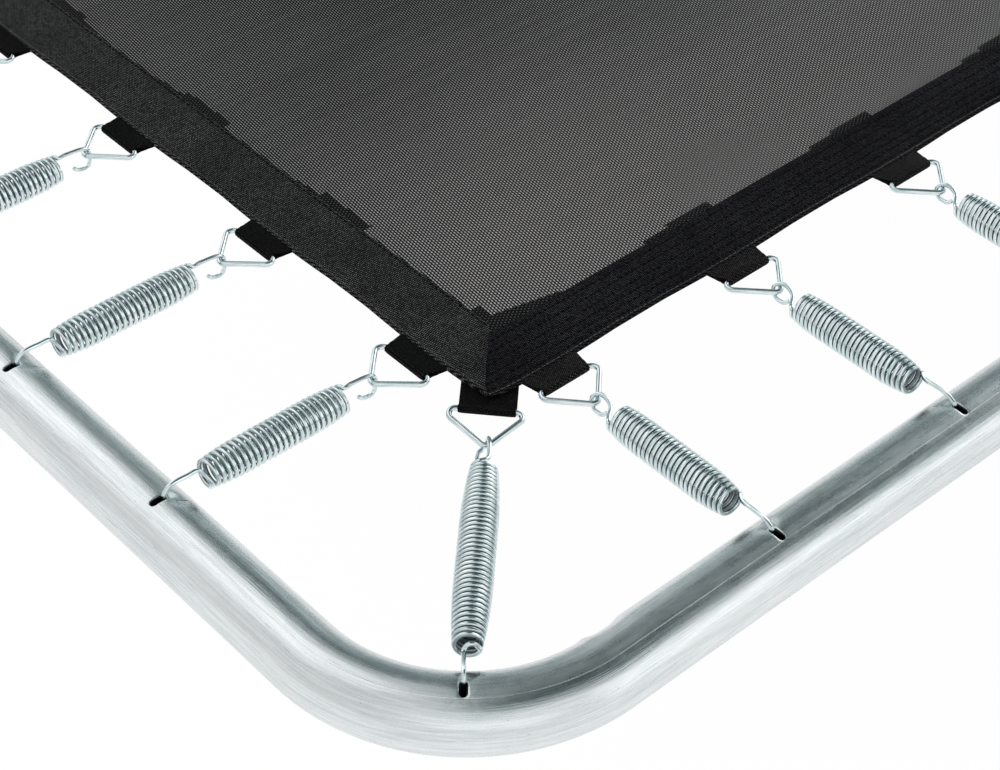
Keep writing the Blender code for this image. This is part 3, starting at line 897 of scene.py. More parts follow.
def foot_rubber():
    rubber = Finish("foot_rubber")
    place = rubber.own_place()
    dust = rubber.noise(place, 160.0, 4.0, 0.65)
    skin = rubber.noise(place, 1500.0, 2.0, 0.6)
    shade = rubber.blend(dust.step(0.45, 0.8), rgb(0.014, 0.014, 0.015), rgb(0.050, 0.049, 0.046))
    return rubber.wear(
        Base_Color=shade,
        Roughness=0.62 + 0.25 * dust,
        Specular_IOR_Level=0.4,
        Normal=rubber.bump(skin + 0.5 * dust, 0.0002, 0.5),
    )


def foot_section(drawn_in):
    """The sleeve's outline across the bar, drawn in by so much above the sole."""
    reach = FOOT_REACH - drawn_in
    outline = [(reach * cos(a), BAR_Z + reach * sin(a)) for a in np.radians(np.linspace(0, 180, 33))]
    rounding = np.radians(np.linspace(0, 90, 6))
    left = [(SOLE_R * (1 - cos(a)) - reach, SOLE_R * (1 - sin(a))) for a in rounding]
    sole = [(x, 0.0) for x in np.linspace(SOLE_R - reach, reach - SOLE_R, 9)[1:-1]]
    right = [(-x, z) for x, z in reversed(left)]
    return outline + left + sole + right


def ribbed_foot(name, x, y):
    """The sleeve's outside from end to end, and then its bore."""
    points = []
    half = FOOT_LENGTH / 2
    for along in np.linspace(-half, half, 61):
        groove = 0.5 - 0.5 * cos(along * tau / FOOT_RIBS)
        rim = half - abs(along)
        depth = RIB_GROOVE * groove * (rim > PLAIN_RIM) + RIM_DROP * max(0.0, 1 - rim / RIM_ROUND) ** 2
        points += [(x + along, y + across, z) for across, z in foot_section(depth)]
    bore_r = TUBE_R + FIT_GAP / 2
    plain = foot_section(0.0)
    for along in (half, -half):
        for across, z in plain:
            angle = atan2(z - BAR_Z, across)
            points.append((x + along, y + bore_r * cos(angle), BAR_Z + bore_r * sin(angle)))
    faces = strip_faces(len(points) // len(plain), len(plain), wrap_columns=True, wrap_rows=True)
    return as_piece(name, points, faces, RUBBER, 40.0)


RUBBER = foot_rubber()
for name, (sx, sy) in corner_signs.items():
    sleeve = ribbed_foot(f"foot_{name}_rubber", sx * FOOT_X, sy * RAIL_Y)
    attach(sleeve, "frame")
    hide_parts(f"foot_{name}")
print("four feet", [round(1000 * v, 1) for v in sleeve.dimensions], "mm")

# %% [markdown]
# ## Zinc-plated wire
#
# Springs and rings are drawn steel wire with a bright zinc coat. It is smoother than the dipped tube and
# faintly blue-green. Drawing leaves fine lines along the wire. Where the turns of a coil face each other
# the wire is painted dark, a painted shade for the grooves between turns, and each point of a spring
# stores how much of that painted shade it takes.

# %% Zinc plate
def zinc_plate():
    zinc = Finish("zinc_plated_wire")
    place = zinc.own_place()
    laid = zinc.along_piece()
    lines = zinc.streaks(laid, 60.0, 1500.0, 2.0, 0.6)
    cloud = zinc.noise(place, 120.0, 3.0, 0.6)
    grain = zinc.noise(place, 900.0, 2.0, 0.6)
    metal = zinc.blend(lines.step(0.3, 0.7), rgb(0.46, 0.58, 0.60), rgb(0.86, 0.92, 0.93))
    # Painted shade: the wire is darkened where the turns of a coil face each other.
    metal = zinc.blend(zinc.painted_groove_shade() * 0.96, metal, rgb(0.026, 0.046, 0.050))
    return zinc.wear(
        Base_Color=metal,
        Metallic=1.0,
        Roughness=0.10 + 0.14 * cloud + 0.08 * grain + 0.30 * zinc.painted_groove_shade(),
        Normal=zinc.bump(lines + 0.5 * grain, 0.00018, 0.55),
    )


ZINC = zinc_plate()
print("finish", ZINC.name)

# %% [markdown]
# ## Wire rings
#
# Each ring is a closed triangle of thicker wire with round corners. Its straight side lies in the
# webbing loop and its point faces the spring. The outline is drawn with sharp corners first and each
# corner is then rounded by an arc, which is how such a ring is bent round three pins.

# %% Rings
RING_WIRE = 0.0039
RING_HALF = 0.0298
RING_REACH = 0.0295
RING_BENDS = (0.005, 0.004, 0.005)
ROUNDED_OFF = 0.0018
RING_STEP = 0.0006
RING_LIFT = 0.0055
LIFT_HALF = 0.0235

# A ring's sideways shift in metres and its turn in degrees: at a corner, and at most on the sides.
CORNER_SHIFT, CORNER_TURN = -0.0023, 4.2
SIDE_SHIFT, SIDE_TURN = 0.0004, 1.6


def rounded_outline(corners, radii, step):
    """A closed outline with each corner turned into an arc of its radius."""
    path = []
    count = len(corners)
    for k in range(count):
        here = np.array(corners[k], float)
        back = np.array(corners[k - 1], float) - here
        on = np.array(corners[(k + 1) % count], float) - here
        back /= np.linalg.norm(back)
        on /= np.linalg.norm(on)
        half = np.arccos(np.clip(back @ on, -1, 1)) / 2
        inward = (back + on) / np.linalg.norm(back + on)
        centre = here + inward * radii[k] / sin(half)
        start = -inward
        side = np.cross(np.cross(back, on), inward)
        side /= np.linalg.norm(side)
        sweep = pi / 2 - half
        steps = max(3, round(2 * sweep * radii[k] / step))
        for a in np.linspace(-sweep, sweep, steps + 1):
            path.append(centre + radii[k] * (cos(a) * start + sin(a) * side))
    return np.array(path)


def corner_lift(t):
    """How far a corner's ring and loop are lifted at this place across them."""
    return RING_LIFT * (0.5 - 0.5 * t / LIFT_HALF)


def ring_turn(station):
    """The ring's sideways shift, and its turn in degrees about the middle of its straight side."""
    if station.at_corner:
        return CORNER_SHIFT, CORNER_TURN
    x, y, _ = station.edge
    return SIDE_SHIFT * sin(37.0 * x + 11.0), SIDE_TURN * sin(23.0 * x + 51.0 * y)


def ring_path(station):
    base = station.ring_out
    point = base + RING_REACH + ROUNDED_OFF
    corners = [(base, -RING_HALF, 0), (point, 0, 0), (base, RING_HALF, 0)]
    path = rounded_outline(corners, RING_BENDS, RING_STEP)
    shift, turn = ring_turn(station)
    turned = radians(turn)
    out = path[:, 0] - base
    s = base + out * cos(turned) - path[:, 1] * sin(turned)
    t = out * sin(turned) + path[:, 1] * cos(turned) + shift
    z = path[:, 2].copy()
    if station.at_corner:
        z += corner_lift(path[:, 1]) * np.clip(1.0 - out / RING_REACH, 0.0, 1.0)
    return np.stack((s, t, z), 1)


rings = []
for station in stations:
    points, faces, laid = wire(ring_path(station), RING_WIRE / 2, 12, closed=True)
    rings.append(as_piece(f"ring_{station.name}", station.world(points), faces, ZINC, straight=laid))
print(len(rings), "rings, each", len(rings[0].data.polygons), "faces")

# %% [markdown]
# ## Coil springs
#
# A spring is one wire: a hook through the slot, a coil and a hook round the ring. The coil is drawn in at
# both ends so that its hooks sit near its middle. The makers end the coil in two ways. On some the last
# turn curls into the middle and leaves along the axis, and on others the wire leaves straight from the
# rim. The path is worked out in the station's own frame as a run of keys, each a spot and a heading.

# %% Spring shapes
WIRE_R = 0.0015
TURN_POINTS = 24
SPRING_SIDES = 10

# Where the frame hook stands in its slot, how close the points of a hook are, and how soft the edge of
# the painted shade in a groove is.
HOOK_BACK = 0.0031
HOOK_STEP = 0.0009
GROOVE_FADE = 0.46

# How one kind of spring is wound: the coil's ends along s, its turns, its radius in the middle, at the
# ring and at the frame, the length it is drawn in over, the angles its ends leave at, how far its frame
# end stands above the ring end, and how far out the painted shade in the grooves between its turns
# reaches.
SpringShape = namedtuple(
    "SpringShape", "start end turns middle_r ring_r frame_r drawn_in first last lift groove"
)
SPRING_SHAPES = {
    "end": SpringShape(0.0665, 0.1745, 26, 0.0105, 0.0083, 0.0084, 0.030, 90.0, -28.0, 0.0012, 0.18),
    "side": SpringShape(0.0635, 0.1627, 27, 0.0107, 0.0088, 0.0079, 0.024, 172.0, 25.0, -0.0011, 0.31),
    "corner": SpringShape(0.0600, 0.2050, 41, 0.0106, 0.0075, 0.0077, 0.050, 115.0, -20.0, 0.0, 0.58),
}

# The keys that lead the hooks. Each row is a spot in millimetres and the wire's heading there, both as
# (s, t, z): from the slot's place on the crown, from the coil's frame end, and from the spot where the
# ring hook crosses the ring's plane. The tip inside the tube is the same for every spring.
HOOK_TIP = ((2.0, 0, -13.5, -0.15, 0, 1), (0.2, 0, -0.6, 0, 0, 1))
OVER_SLOT = {
    "end": ((-2.4, 0, 4.25, -0.8, 0, 0.62), (-8.5, 0, 6.15, -1, 0, 0.02), (-16.5, 0, 5.75, -1, 0, -0.1)),
    "side": (
        (-3.4, 0, 2.25, -0.8, 0, 0.55),
        (-9.2, 0, 3.75, -1, 0, 0.06),
        (-17.2, 0.4, 3.55, -1, 0.06, -0.1),
        (-25.6, 2.1, 1.85, -1, 0.28, -0.12),
    ),
    "corner": ((-4.6, -0.4, 4.4, -1, -0.06, -0.12),),
}
TO_COIL = {
    "end": ((5.6, -0.4, 7.6, -1, 0.12, -0.16), (2.4, 2.6, 5.4, -0.4, 1, -0.7)),
    "side": ((2.4, 5.0, 4.4, -0.7, 0.75, 0.15),),
    "corner": (
        (5.8, -1.8, 1.2, -1, -0.06, -0.30),
        (3.0, -1.2, 2.8, -0.4, 0.4, 1),
        (1.8, 1.6, 4.7, -0.2, 1, 0.15),
        (0.8, 5.2, 2.6, -0.1, 0.6, -1),
    ),
}
ROUND_RING = {
    "end": (
        (20.0, 0, 8.1, -1, 0, -0.12),
        (4.7, 0, 6.0, -1, 0, -0.3),
        (0, 0, 0, -0.05, 0, -1),
        (1.2, 0, -8.0, 0.3, 0, -1),
        (5.2, 0, -10.6, 1, 0, -0.1),
        (9.8, 0, -9.9, 1, 0, 0.35),
        (14.2, 0, -6.4, 0.7, 0, 0.75),
    ),
    "side": (
        (19.4, -4.5, 1.6, -0.5, 0.8, 0.1),
        (13.0, 2.9, 2.1, -0.75, 0.5, 0.3),
        (7.4, 4.6, 3.6, -1, 0.1, 0.1),
        (2.2, 4.2, 3.7, -1, -0.35, -0.25),
        (-1.6, 1.8, 1.2, -0.25, -0.8, -0.6),
        (-1.2, -0.2, -1.6, 0.3, -0.6, -0.75),
        (2.2, -1.6, -3.4, 0.8, -0.4, -0.3),
        (7.4, -2.9, -3.7, 1, 0, 0.1),
        (12.2, -2.5, -2.8, 0.8, 0.4, 0.6),
        (13.8, -0.6, -1.4, 0.4, 0.6, 0.6),
    ),
    "corner": (
        (23.2, -0.2, 6.6, -0.35, 1, -0.05),
        (19.8, 2.4, 5.6, -1, 0.3, -0.1),
        (12.2, 2.5, 5.2, -1, 0, -0.05),
        (4.8, 2.1, 4.6, -1, -0.1, -0.45),
        (-1.4, 0.9, 1.4, -0.2, -0.2, -1),
        (1.4, -2.0, -4.2, 0.8, -0.7, -0.4),
        (7.0, -4.8, -4.2, 1, -0.15, 0.2),
        (13.0, -5.0, -2.6, 1, 0, 0.5),
    ),
}
print("springs of", {kind: shape.turns for kind, shape in SPRING_SHAPES.items()}, "turns")

# %% [markdown]
# ## Winding the springs
#
# The keys of each hook are joined by smooth cubics, and the coil between them is a helix whose radius
# grows towards its middle, so the whole spring is one path. When the mat moves, the spring has to stretch.

# %% Springs
def keys_from(s, z, rows):
    """Keys of (point, heading) from rows that are measured from this s and z."""
    return [(np.array((s, 0, z)) + np.array(row[:3]) / 1000, row[3:]) for row in rows]


def led_through(keys, spacing):
    """A smooth path through keys of (point, heading), each stretch a cubic that keeps both headings."""
    path = []
    for (a, ga), (b, gb) in zip(keys, keys[1:]):
        a, b, ga, gb = (np.array(v, float) for v in (a, b, ga, gb))
        reach = np.linalg.norm(b - a)
        ga = ga / np.linalg.norm(ga) * reach
        gb = gb / np.linalg.norm(gb) * reach
        steps = max(2, round(reach / spacing))
        for f in np.arange(steps) / steps:
            path.append(
                (2 * f**3 - 3 * f**2 + 1) * a
                + (f**3 - 2 * f**2 + f) * ga
                + (3 * f**2 - 2 * f**3) * b
                + (f**3 - f**2) * gb
            )
    path.append(np.array(keys[-1][0], float))
    return np.array(path)


def coil_path(shape):
    """The coil's wire from its ring end to its frame end. At 0 degrees it is sideways, at 90 up."""
    body = shape.end - shape.start
    turns = shape.turns - 1 + ((shape.last - shape.first) / 360.0) % 1.0
    count = round(turns * TURN_POINTS)
    coil = []
    for share in np.arange(count + 1) / count:
        end_r = shape.ring_r if share < 0.5 else shape.frame_r
        f = min(min(share, 1 - share) * body / shape.drawn_in, 1.0)
        radius = shape.middle_r - (shape.middle_r - end_r) * (1 - f) ** 2
        angle = radians(shape.first + 360.0 * turns * share)
        s, lift = shape.start + body * share, shape.lift * share
        coil.append((s, radius * cos(angle), lift + radius * sin(angle)))
    return np.array(coil)


def spring_path(station, kind):
    """The wire's middle from the tip in the tube to the free end at the ring, 1 for each point on the
    coil and 0 for the others, and the spring's shape."""
    shape = SPRING_SHAPES[kind]
    coil = coil_path(shape)
    outer_keys = keys_from(station.gap - HOOK_BACK, CROWN, HOOK_TIP + OVER_SLOT[kind])
    outer_keys += keys_from(shape.end, 0.0, TO_COIL[kind])
    outer = led_through(outer_keys + [(coil[-1], coil[-2] - coil[-1])], HOOK_STEP)
    inside = station.ring_out + RING_REACH - RING_WIRE / 2 - WIRE_R - 0.0001
    inner_keys = keys_from(inside, 0.0, ROUND_RING[kind])
    inner = led_through([(coil[0], coil[0] - coil[1])] + inner_keys, HOOK_STEP)
    path = np.vstack((outer[:-1], coil[::-1], inner[1:]))
    on_coil = np.zeros(len(path))
    on_coil[len(outer) - 1 : len(outer) - 1 + len(coil)] = 1.0
    return path, on_coil, shape


def groove_shade_weights(points, path, on_coil, shape, sides):
    """Painted shade at each point of the wire: how far it faces the coil's inside or the turn beside it."""
    centre = np.vstack((path[:1], path, path[-1:]))
    held = np.concatenate(((0.0,), on_coil, (0.0,)))
    turning = np.flatnonzero(held > 0.5)
    for k in range(TURN_POINTS):
        held[[turning[k], turning[-1 - k]]] *= k / TURN_POINTS
    share = np.clip((centre[:, 0] - shape.start) / (shape.end - shape.start), 0, 1)
    radial = centre[:, 1:].copy()
    radial[:, 1] -= shape.lift * share
    radial /= np.maximum(np.linalg.norm(radial, axis=1), 1e-6)[:, None]
    off = points.reshape(-1, sides, 3) - centre[:, None]
    off /= np.linalg.norm(off, axis=2)[:, :, None]
    outwardness = off[..., 1] * radial[:, None, 0] + off[..., 2] * radial[:, None, 1]
    beside = np.clip((shape.groove - outwardness) / GROOVE_FADE, 0, 1)
    inside = np.clip(-outwardness, 0, 1)
    return (held[:, None] * beside * (1.0 - 0.50 * inside)).ravel()


def spring_kind(station):
    if station.at_corner:
        return "corner"
    return "end" if abs(station.outward[0]) > 0.5 else "side"


springs = []
for station in stations:
    path, on_coil, shape = spring_path(station, spring_kind(station))
    points, faces, laid = wire(path, WIRE_R, SPRING_SIDES)
    # Each point's share of the painted shade between the turns.
    painted_groove_shade = groove_shade_weights(points, path, on_coil, shape, SPRING_SIDES)
    name = f"spring_{station.name}_wire"
    spring = as_piece(name, station.world(points), faces, ZINC, 35.0, laid, painted_groove_shade)
    hook = station.world((station.gap - HOOK_BACK, 0, 0))
    point = station.world((station.ring_out + RING_REACH, 0, 0))
    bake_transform(spring)
    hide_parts(f"spring_{station.name}")
    springs.append(spring)
print(len(springs), "springs, the corner one", len(springs[-1].data.polygons), "faces")

# %% [markdown]
# ## Black cloth
#
# The hem is a firm black twill and the loops are black webbing. A twill shows as fine slanting ribs, and
# the yarn's fibres catch specks of light. Both come from short waves across the cloth and a fine noise,
# which shade the colour and raise the bump together.

# %% Hem cloth and webbing
def black_cloth(name, dark, light, rib, slant):
    """A ribbed black cloth: the rib's pitch in metres and its slant across the two flat axes."""
    cloth = Finish(name)
    place = cloth.own_place()
    x, y, _ = cloth.parts(place)
    ribs = 0.5 + 0.5 * ((x * slant[0] + y * slant[1]) * (tau / rib)).wave()
    yarn = 0.5 + 0.5 * ((x * slant[1] - y * slant[0]) * (tau / rib / 0.8)).wave()
    specks = cloth.noise(place, 800.0, 3.0, 0.75)
    worn = cloth.noise(place, 22.0, 3.0, 0.6)
    bright = specks.step(0.42, 0.60)
    height = 0.40 * ribs + 0.40 * ribs * yarn + 0.4 * bright
    tone = (ribs * yarn) ** 1.6 * (0.20 + 0.80 * bright) * (0.3 + 1.4 * worn)
    return cloth.wear(
        Base_Color=cloth.blend(tone, rgb(*dark), rgb(*light)),
        Roughness=0.82,
        Specular_IOR_Level=0.03,
        Normal=cloth.bump(height, 0.00030, 0.6),
    )


# The hem's twill in a lit copy for the ends' bands and a copy painted darker, painted shade, for the long
# sides' bands.
HEM_LIT_COPY = black_cloth("hem_twill", (0.003, 0.003, 0.0033), (0.33, 0.33, 0.332), 0.0018, (0.95, 0.30))
HEM_SHADED_COPY = black_cloth(
    "hem_twill_painted_darker", (0.0018, 0.0018, 0.0022), (0.125, 0.125, 0.139), 0.0016, (0.3, 1.0)
)
# Painted highlight: the fold's cord is paler than the hem and stands in for light along its ridge.
FOLD_PAINTED_HIGHLIGHT = black_cloth("hem_fold_painted_highlight", (0.03, 0.03, 0.034), (0.20, 0.20, 0.22), 0.0009, (0.7, 0.7))
WEBBING = black_cloth("loop_webbing", (0.0022, 0.0022, 0.0023), (0.05, 0.05, 0.051), 0.0013, (1.0, 0.0))
SIDE_WEBBING = black_cloth("side_webbing", (0.004, 0.004, 0.004), (0.14, 0.14, 0.134), 0.0016, (0.5, 0.9))
THREAD = black_cloth("hem_thread", (0.05, 0.05, 0.048), (0.50, 0.49, 0.47), 0.0009, (0.7, 0.7))
DARK_THREAD = black_cloth("band_thread", (0.002, 0.002, 0.0022), (0.02, 0.02, 0.022), 0.0009, (0.7, 0.7))
print("cloth finishes ready")

# %% [markdown]
# ## Webbing loops
#
# A loop is a strip of webbing folded round the ring's straight side, with both layers sewn into the
# hem. It narrows a little towards the ring, and where it is folded it shows ribs across its width. It is
# modelled as the strip it is: one thick ribbon led out over the wire and back under it.

# %% Loops
RIBBON = 0.0011
RIB_HEIGHT = 0.00034
RIB_PITCH = 0.0021
RIB_REACH = 0.010
HEM_HALF = 0.0017
LOOP_SLANT = 0.073
LOOP_SHIFT = 0.0014

# How a loop is cut: where its two layers end in the hem, how high each is there, and its width at the
# hem and at the ring.
LoopShape = namedtuple("LoopShape", "inner top bottom wide narrow")
SIDE_LOOP = LoopShape(-0.006, 0.0007, -0.0007, 0.0462, 0.0385)
CORNER_LOOP = LoopShape(-0.030, -HEM_HALF - 0.0008, -HEM_HALF - 0.0021, 0.0373, 0.0373 - 0.0008)


def slab_faces(rows, columns):
    """Faces of two grids of points, the upper one first, closed round their border."""
    under = rows * columns
    faces = strip_faces(rows, columns)
    faces += [tuple(c + under for c in reversed(face)) for face in faces]
    edges = [(k * columns + j, (k + 1) * columns + j) for j in (0, columns - 1) for k in range(rows - 1)]
    edges += [(k * columns + j, k * columns + j + 1) for k in (0, rows - 1) for j in range(columns - 1)]
    return faces + [(a, b, b + under, a + under) for a, b in edges]


def loop_ribbon(station):
    """The ribbon's middle line as (s, z) with the ribbon's width at each point."""
    out = station.ring_out
    inner, top, bottom, wide, narrow = CORNER_LOOP if station.at_corner else SIDE_LOOP
    round_wire = RING_WIRE / 2 + RIBBON / 2 + 0.0001
    rise = np.linspace(0.15, 1.0, 9)
    line = [(inner, top), (-0.001, top)]
    line += [(f * out, top + (round_wire - top) * f**1.6) for f in rise]
    line += [(out + round_wire * cos(a), round_wire * sin(a)) for a in np.radians(np.arange(78, -90, -12))]
    line += [(f * out, bottom - (round_wire + bottom) * f**1.6) for f in rise[::-1]]
    line += [(-0.001, bottom), (inner, bottom)]
    widths = [wide - (wide - narrow) * min(max(s / out, 0.0), 1.0) for s, _ in line]
    return np.array(line), np.array(widths)


def webbing_loop(station):
    line, widths = loop_ribbon(station)
    walked = np.cumsum(np.hypot(*np.diff(line, axis=0, prepend=line[:1]).T))
    ahead = np.gradient(line, axis=0)
    ahead /= np.linalg.norm(ahead, axis=1)[:, None]
    outside = np.stack((-ahead[:, 1], ahead[:, 0]), 1)
    across = np.linspace(-1, 1, 15)
    points = []
    for side in (1, -1):
        for spot, width, walk, off in zip(line, widths, walked, outside):
            near_ring = max(0.0, 1.0 - abs(spot[0] - station.ring_out) / RIB_REACH)
            rib = RIB_HEIGHT * near_ring * sin(walk * tau / RIB_PITCH) * (side > 0)
            for u in across:
                edge = 1.0 - 0.55 * max(0.0, (abs(u) - 0.93) / 0.07) ** 2
                s, z = spot + off * (RIBBON / 2 * edge + rib) * side
                t = u * width / 2
                if station.at_corner:
                    reached = min(max(s / station.ring_out, 0.0), 1.15)
                    z += corner_lift(t) * reached
                    s -= LOOP_SLANT * t * reached
                    t -= LOOP_SHIFT
                points.append((s, t, z))
    faces = slab_faces(len(line), len(across))
    cloth = SIDE_WEBBING if abs(station.outward[1]) > 0.9 else WEBBING
    return as_piece(f"loop_{station.name}", station.world(points), faces, cloth, 50.0)


loops = [webbing_loop(station) for station in stations]
print(len(loops), "loops")

# %% [markdown]
# ## The hem
#
# The hem is four bands, each folded over the bed's edge, that meet in mitres at the corners. The loops
# pull the edge outward and the cloth draws back between them, so the edge is slightly scalloped. On the
# long sides several rows of stitching press grooves along the band.

# %% Hem bands
HEM_WIDTH = 0.050
HEM_EDGE = 0.0018
MITRE_SHIFT = 0.007
HEM_ROWS = (0.006, 0.0125, 0.019, 0.0265, 0.035, 0.0435)
GROOVE_DEPTH = 0.00035
GROOVE_HALF = 0.0009
UNEVEN = 0.0002
FOLD_FROM_SIDE = 0.0585
FOLD_SLANT = 0.16
FOLD_HEIGHT = 0.0008
FOLD_SOFT = 0.0006
TIP_IN = 0.0039
TIP_FADE = 0.011
SCALLOP = 0.0014
SCALLOP_HALF = 0.06
SCALLOP_FADE = 0.03
POCKET = 0.0007
POCKET_REACH = 0.013
LONG_SIDES = ("front", "back")


def side_half(side):
    return MAT_LENGTH / 2 if side in LONG_SIDES else MAT_WIDTH / 2


def on_side(side, along, out, z):
    """The point this far along a side, out from the bed's edge and above the bed."""
    sign = -1 if side in ("front", "left") else 1
    if side in LONG_SIDES:
        return along, sign * (MAT_WIDTH / 2 + out), MAT_Z + z
    return sign * (MAT_LENGTH / 2 + out), along, MAT_Z + z


def band_top(side, along, inward, folded=True):
    """The band's upper surface over the bed's middle plane, with or without the fold at its corners."""
    height = HEM_HALF * sqrt(max(0.0, 1 - (1 - min(inward / HEM_EDGE, 1.0)) ** 2))
    height += UNEVEN * sin(along * 41.0 + inward * 60.0)
    if side in LONG_SIDES:
        for row in HEM_ROWS:
            height -= GROOVE_DEPTH * np.exp(-(((inward - row) / GROOVE_HALF) ** 2))
    elif folded:
        past_fold = side_half(side) - abs(along) - (FOLD_FROM_SIDE - FOLD_SLANT * inward)
        height += FOLD_HEIGHT / (1 + np.exp(min(past_fold / FOLD_SOFT, 700.0)))
    return max(height, 0.0)


def tip_round(distance):
    """How far the hem's tip is drawn in, this far from the corner."""
    return TIP_IN * np.exp(-distance / TIP_FADE)


def edge_pull(side, along, inward):
    """How far the band is drawn in here, which is least at a loop and most at the corners."""
    away = np.min(np.abs((side_stations if side in LONG_SIDES else end_stations) - along))
    pull = SCALLOP * min(away / SCALLOP_HALF, 1.0) ** 2
    pull += tip_round(max(side_half(side) - abs(along), 0.0))
    return pull * max(0.0, 1 - inward / SCALLOP_FADE)


def hem_band(side):
    """One side's band, from mitre to mitre. It is a closed folded section swept along the side: the
    top from the inside to the edge, the underside back, and the pocket that takes the bed's edge."""
    long_side = side in LONG_SIDES
    half = side_half(side)
    count = 330 if long_side else 170
    inwards = np.concatenate((np.linspace(0, HEM_EDGE, 5), np.linspace(0.003, HEM_WIDTH, 40)))
    profile = [(inward, "top") for inward in inwards[::-1]] + [(inward, "under") for inward in inwards[1:]]
    profile += [(HEM_WIDTH, -POCKET), (POCKET_REACH, -POCKET), (POCKET_REACH, POCKET), (HEM_WIDTH, POCKET)]
    points = []
    for share in np.linspace(-1, 1, count):
        for inward, layer in profile:
            if long_side:
                end = half - max(0.0, inward - MITRE_SHIFT) - tip_round(inward)
            else:
                end = half - (inward + MITRE_SHIFT)
            along = share * end
            if layer == "top":
                z = band_top(side, along, inward)
            elif layer == "under":
                z = -band_top(side, along, inward, folded=False)
            else:
                z = layer
            points.append(on_side(side, along, -(inward + edge_pull(side, along, inward)), z))
    columns = len(profile)
    faces = strip_faces(count, columns, wrap_columns=True)
    faces.append(tuple(range(columns)))
    faces.append(tuple((count - 1) * columns + k for k in range(columns)))
    # The long sides' bands wear the twill painted darker as painted shade, and the ends' bands wear the lit
    # copy.
    return as_piece(f"hem_{side}", points, faces, HEM_SHADED_COPY if long_side else HEM_LIT_COPY, 50.0)


hem = {side: hem_band(side) for side in ("front", "back", "left", "right")}
print("hem bands of", [len(band.data.polygons) for band in hem.values()], "faces")

# %% [markdown]
# ## Stitches and folded edges
#
# A row of stitches is a row of short dashes of thread that follow the band's top. One row runs along
# every edge. Darker ones lie in the grooves of the long sides' bands, and one runs near the inner edge of
# the ends' bands. At each corner the end band's cloth is folded under along a slanting line, and the
# fold's raised edge is a thin cord, painted paler than the hem as a painted highlight along the ridge.

# %% Threads
STITCH = 0.0030
STITCH_GAP = 0.0012
THREAD_R = 0.00042
EDGE_ROW = 0.0026
INNER_ROW = 0.0475
FOLD_R = 0.00055
FOLD_LINE = ((0.0447, 0.0508), (0.0324, 0.0536), (0.0190, 0.0560), (0.0094, 0.0578), (0.0010, 0.0590))


def joined(meshes):
    """Several (points, faces) as one."""
    points, faces, start = [], [], 0
    for some, corners in meshes:
        points.append(np.asarray(some, float))
        faces += [tuple(int(c) + start for c in face) for face in corners]
        start += len(some)
    return np.vstack(points), faces


def stitch_row(side, inward):
    """A row of thread dashes pressed into the band's top, this far in from the edge."""
    whole = side_half(side)
    half = whole - inward + (MITRE_SHIFT if side in LONG_SIDES else -MITRE_SHIFT) - 0.002
    half = min(half, whole - 0.004)
    faces = strip_faces(4, 4, wrap_columns=True) + [(0, 1, 2, 3), (12, 13, 14, 15)]
    meshes = []
    for k in range(int(2 * half / (STITCH + STITCH_GAP))):
        middle = -half + (k + 0.5) * (STITCH + STITCH_GAP)
        dash = []
        for share in (-1, -0.55, 0.55, 1):
            along = middle + share * STITCH / 2
            z = band_top(side, along, inward) + THREAD_R * (0.75 if abs(share) < 1 else -0.2)
            out = -(inward + edge_pull(side, along, inward))
            for a in (0, tau / 4, tau / 2, 3 * tau / 4):
                dash.append(on_side(side, along, out + THREAD_R * cos(a), z + THREAD_R * sin(a)))
        meshes.append((dash, faces))
    return joined(meshes)


def hem_thread(side, rows, word, finish):
    points, faces = joined([stitch_row(side, row) for row in rows])
    return as_piece(f"{word}_{side}", points, faces, finish, 60.0)


def fold_edge(name, sx, sy):
    """The raised edge of the cloth folded under at a corner: a thin cord painted pale as a highlight."""
    path = []
    for (x1, y1), (x2, y2) in zip(FOLD_LINE, FOLD_LINE[1:]):
        for f in np.arange(6) / 6:
            from_end, along = x1 + f * (x2 - x1), MAT_WIDTH / 2 - (y1 + f * (y2 - y1))
            z = MAT_Z + band_top("left", along, from_end) + 0.0001
            path.append((sx * (MAT_LENGTH / 2 - from_end), sy * along, z))
    points, faces, _ = wire(path, FOLD_R)
    return as_piece(f"hem_fold_{name}", points, faces, FOLD_PAINTED_HIGHLIGHT, 60.0)


threads = [fold_edge(name, sx, sy) for name, (sx, sy) in corner_signs.items()]
for side in hem:
    threads.append(hem_thread(side, (EDGE_ROW,), "edge_thread", THREAD))
    rows = HEM_ROWS if side in LONG_SIDES else (INNER_ROW,)
    threads.append(hem_thread(side, rows, "band_thread", DARK_THREAD))
print(len(threads), "threads and folds")

# %% [markdown]
# ## The woven bed
#
# The bed is a plain weave of flat plastic threads. Threads one way stand 2.1 mm apart and 1.5 mm the
# other way, and they pass over and under by turns, with a small hole at each corner. Modelling each
# thread would take millions of faces, so the sheet is a thin solid and the weave is worked out in its
# material: which thread is on top in a cell, how high it stands there, and how dark the holes are. The
# black threads' tops are painted pale as a painted sheen, and that painted sheen is brighter towards the
# bed's edges and darker in its middle.

# %% Woven bed
WEAVE_X = 0.00211
WEAVE_Y = 0.00147
WARP_SLANT = -0.0823
WEFT_SLANT = -0.0091
TAIL_DEPTH = 0.0075
TAIL_HALF_SIDE = 0.0325
TAIL_HALF_END = 0.0385
TAIL_STEP_SIDE = 0.0040
TAIL_STEP_END = 0.0052
TAIL_CLEAR = 0.120
SHORT_LEG_END, SHORT_LEG_SIDE = 0.0575, 0.076
LONG_LEG_END, LONG_LEG_SIDE, LONG_LEG_SLANT = 0.108, 0.0773, 0.235
side_pitch = side_stations[1] - side_stations[0]
end_pitch = end_stations[1] - end_stations[0]


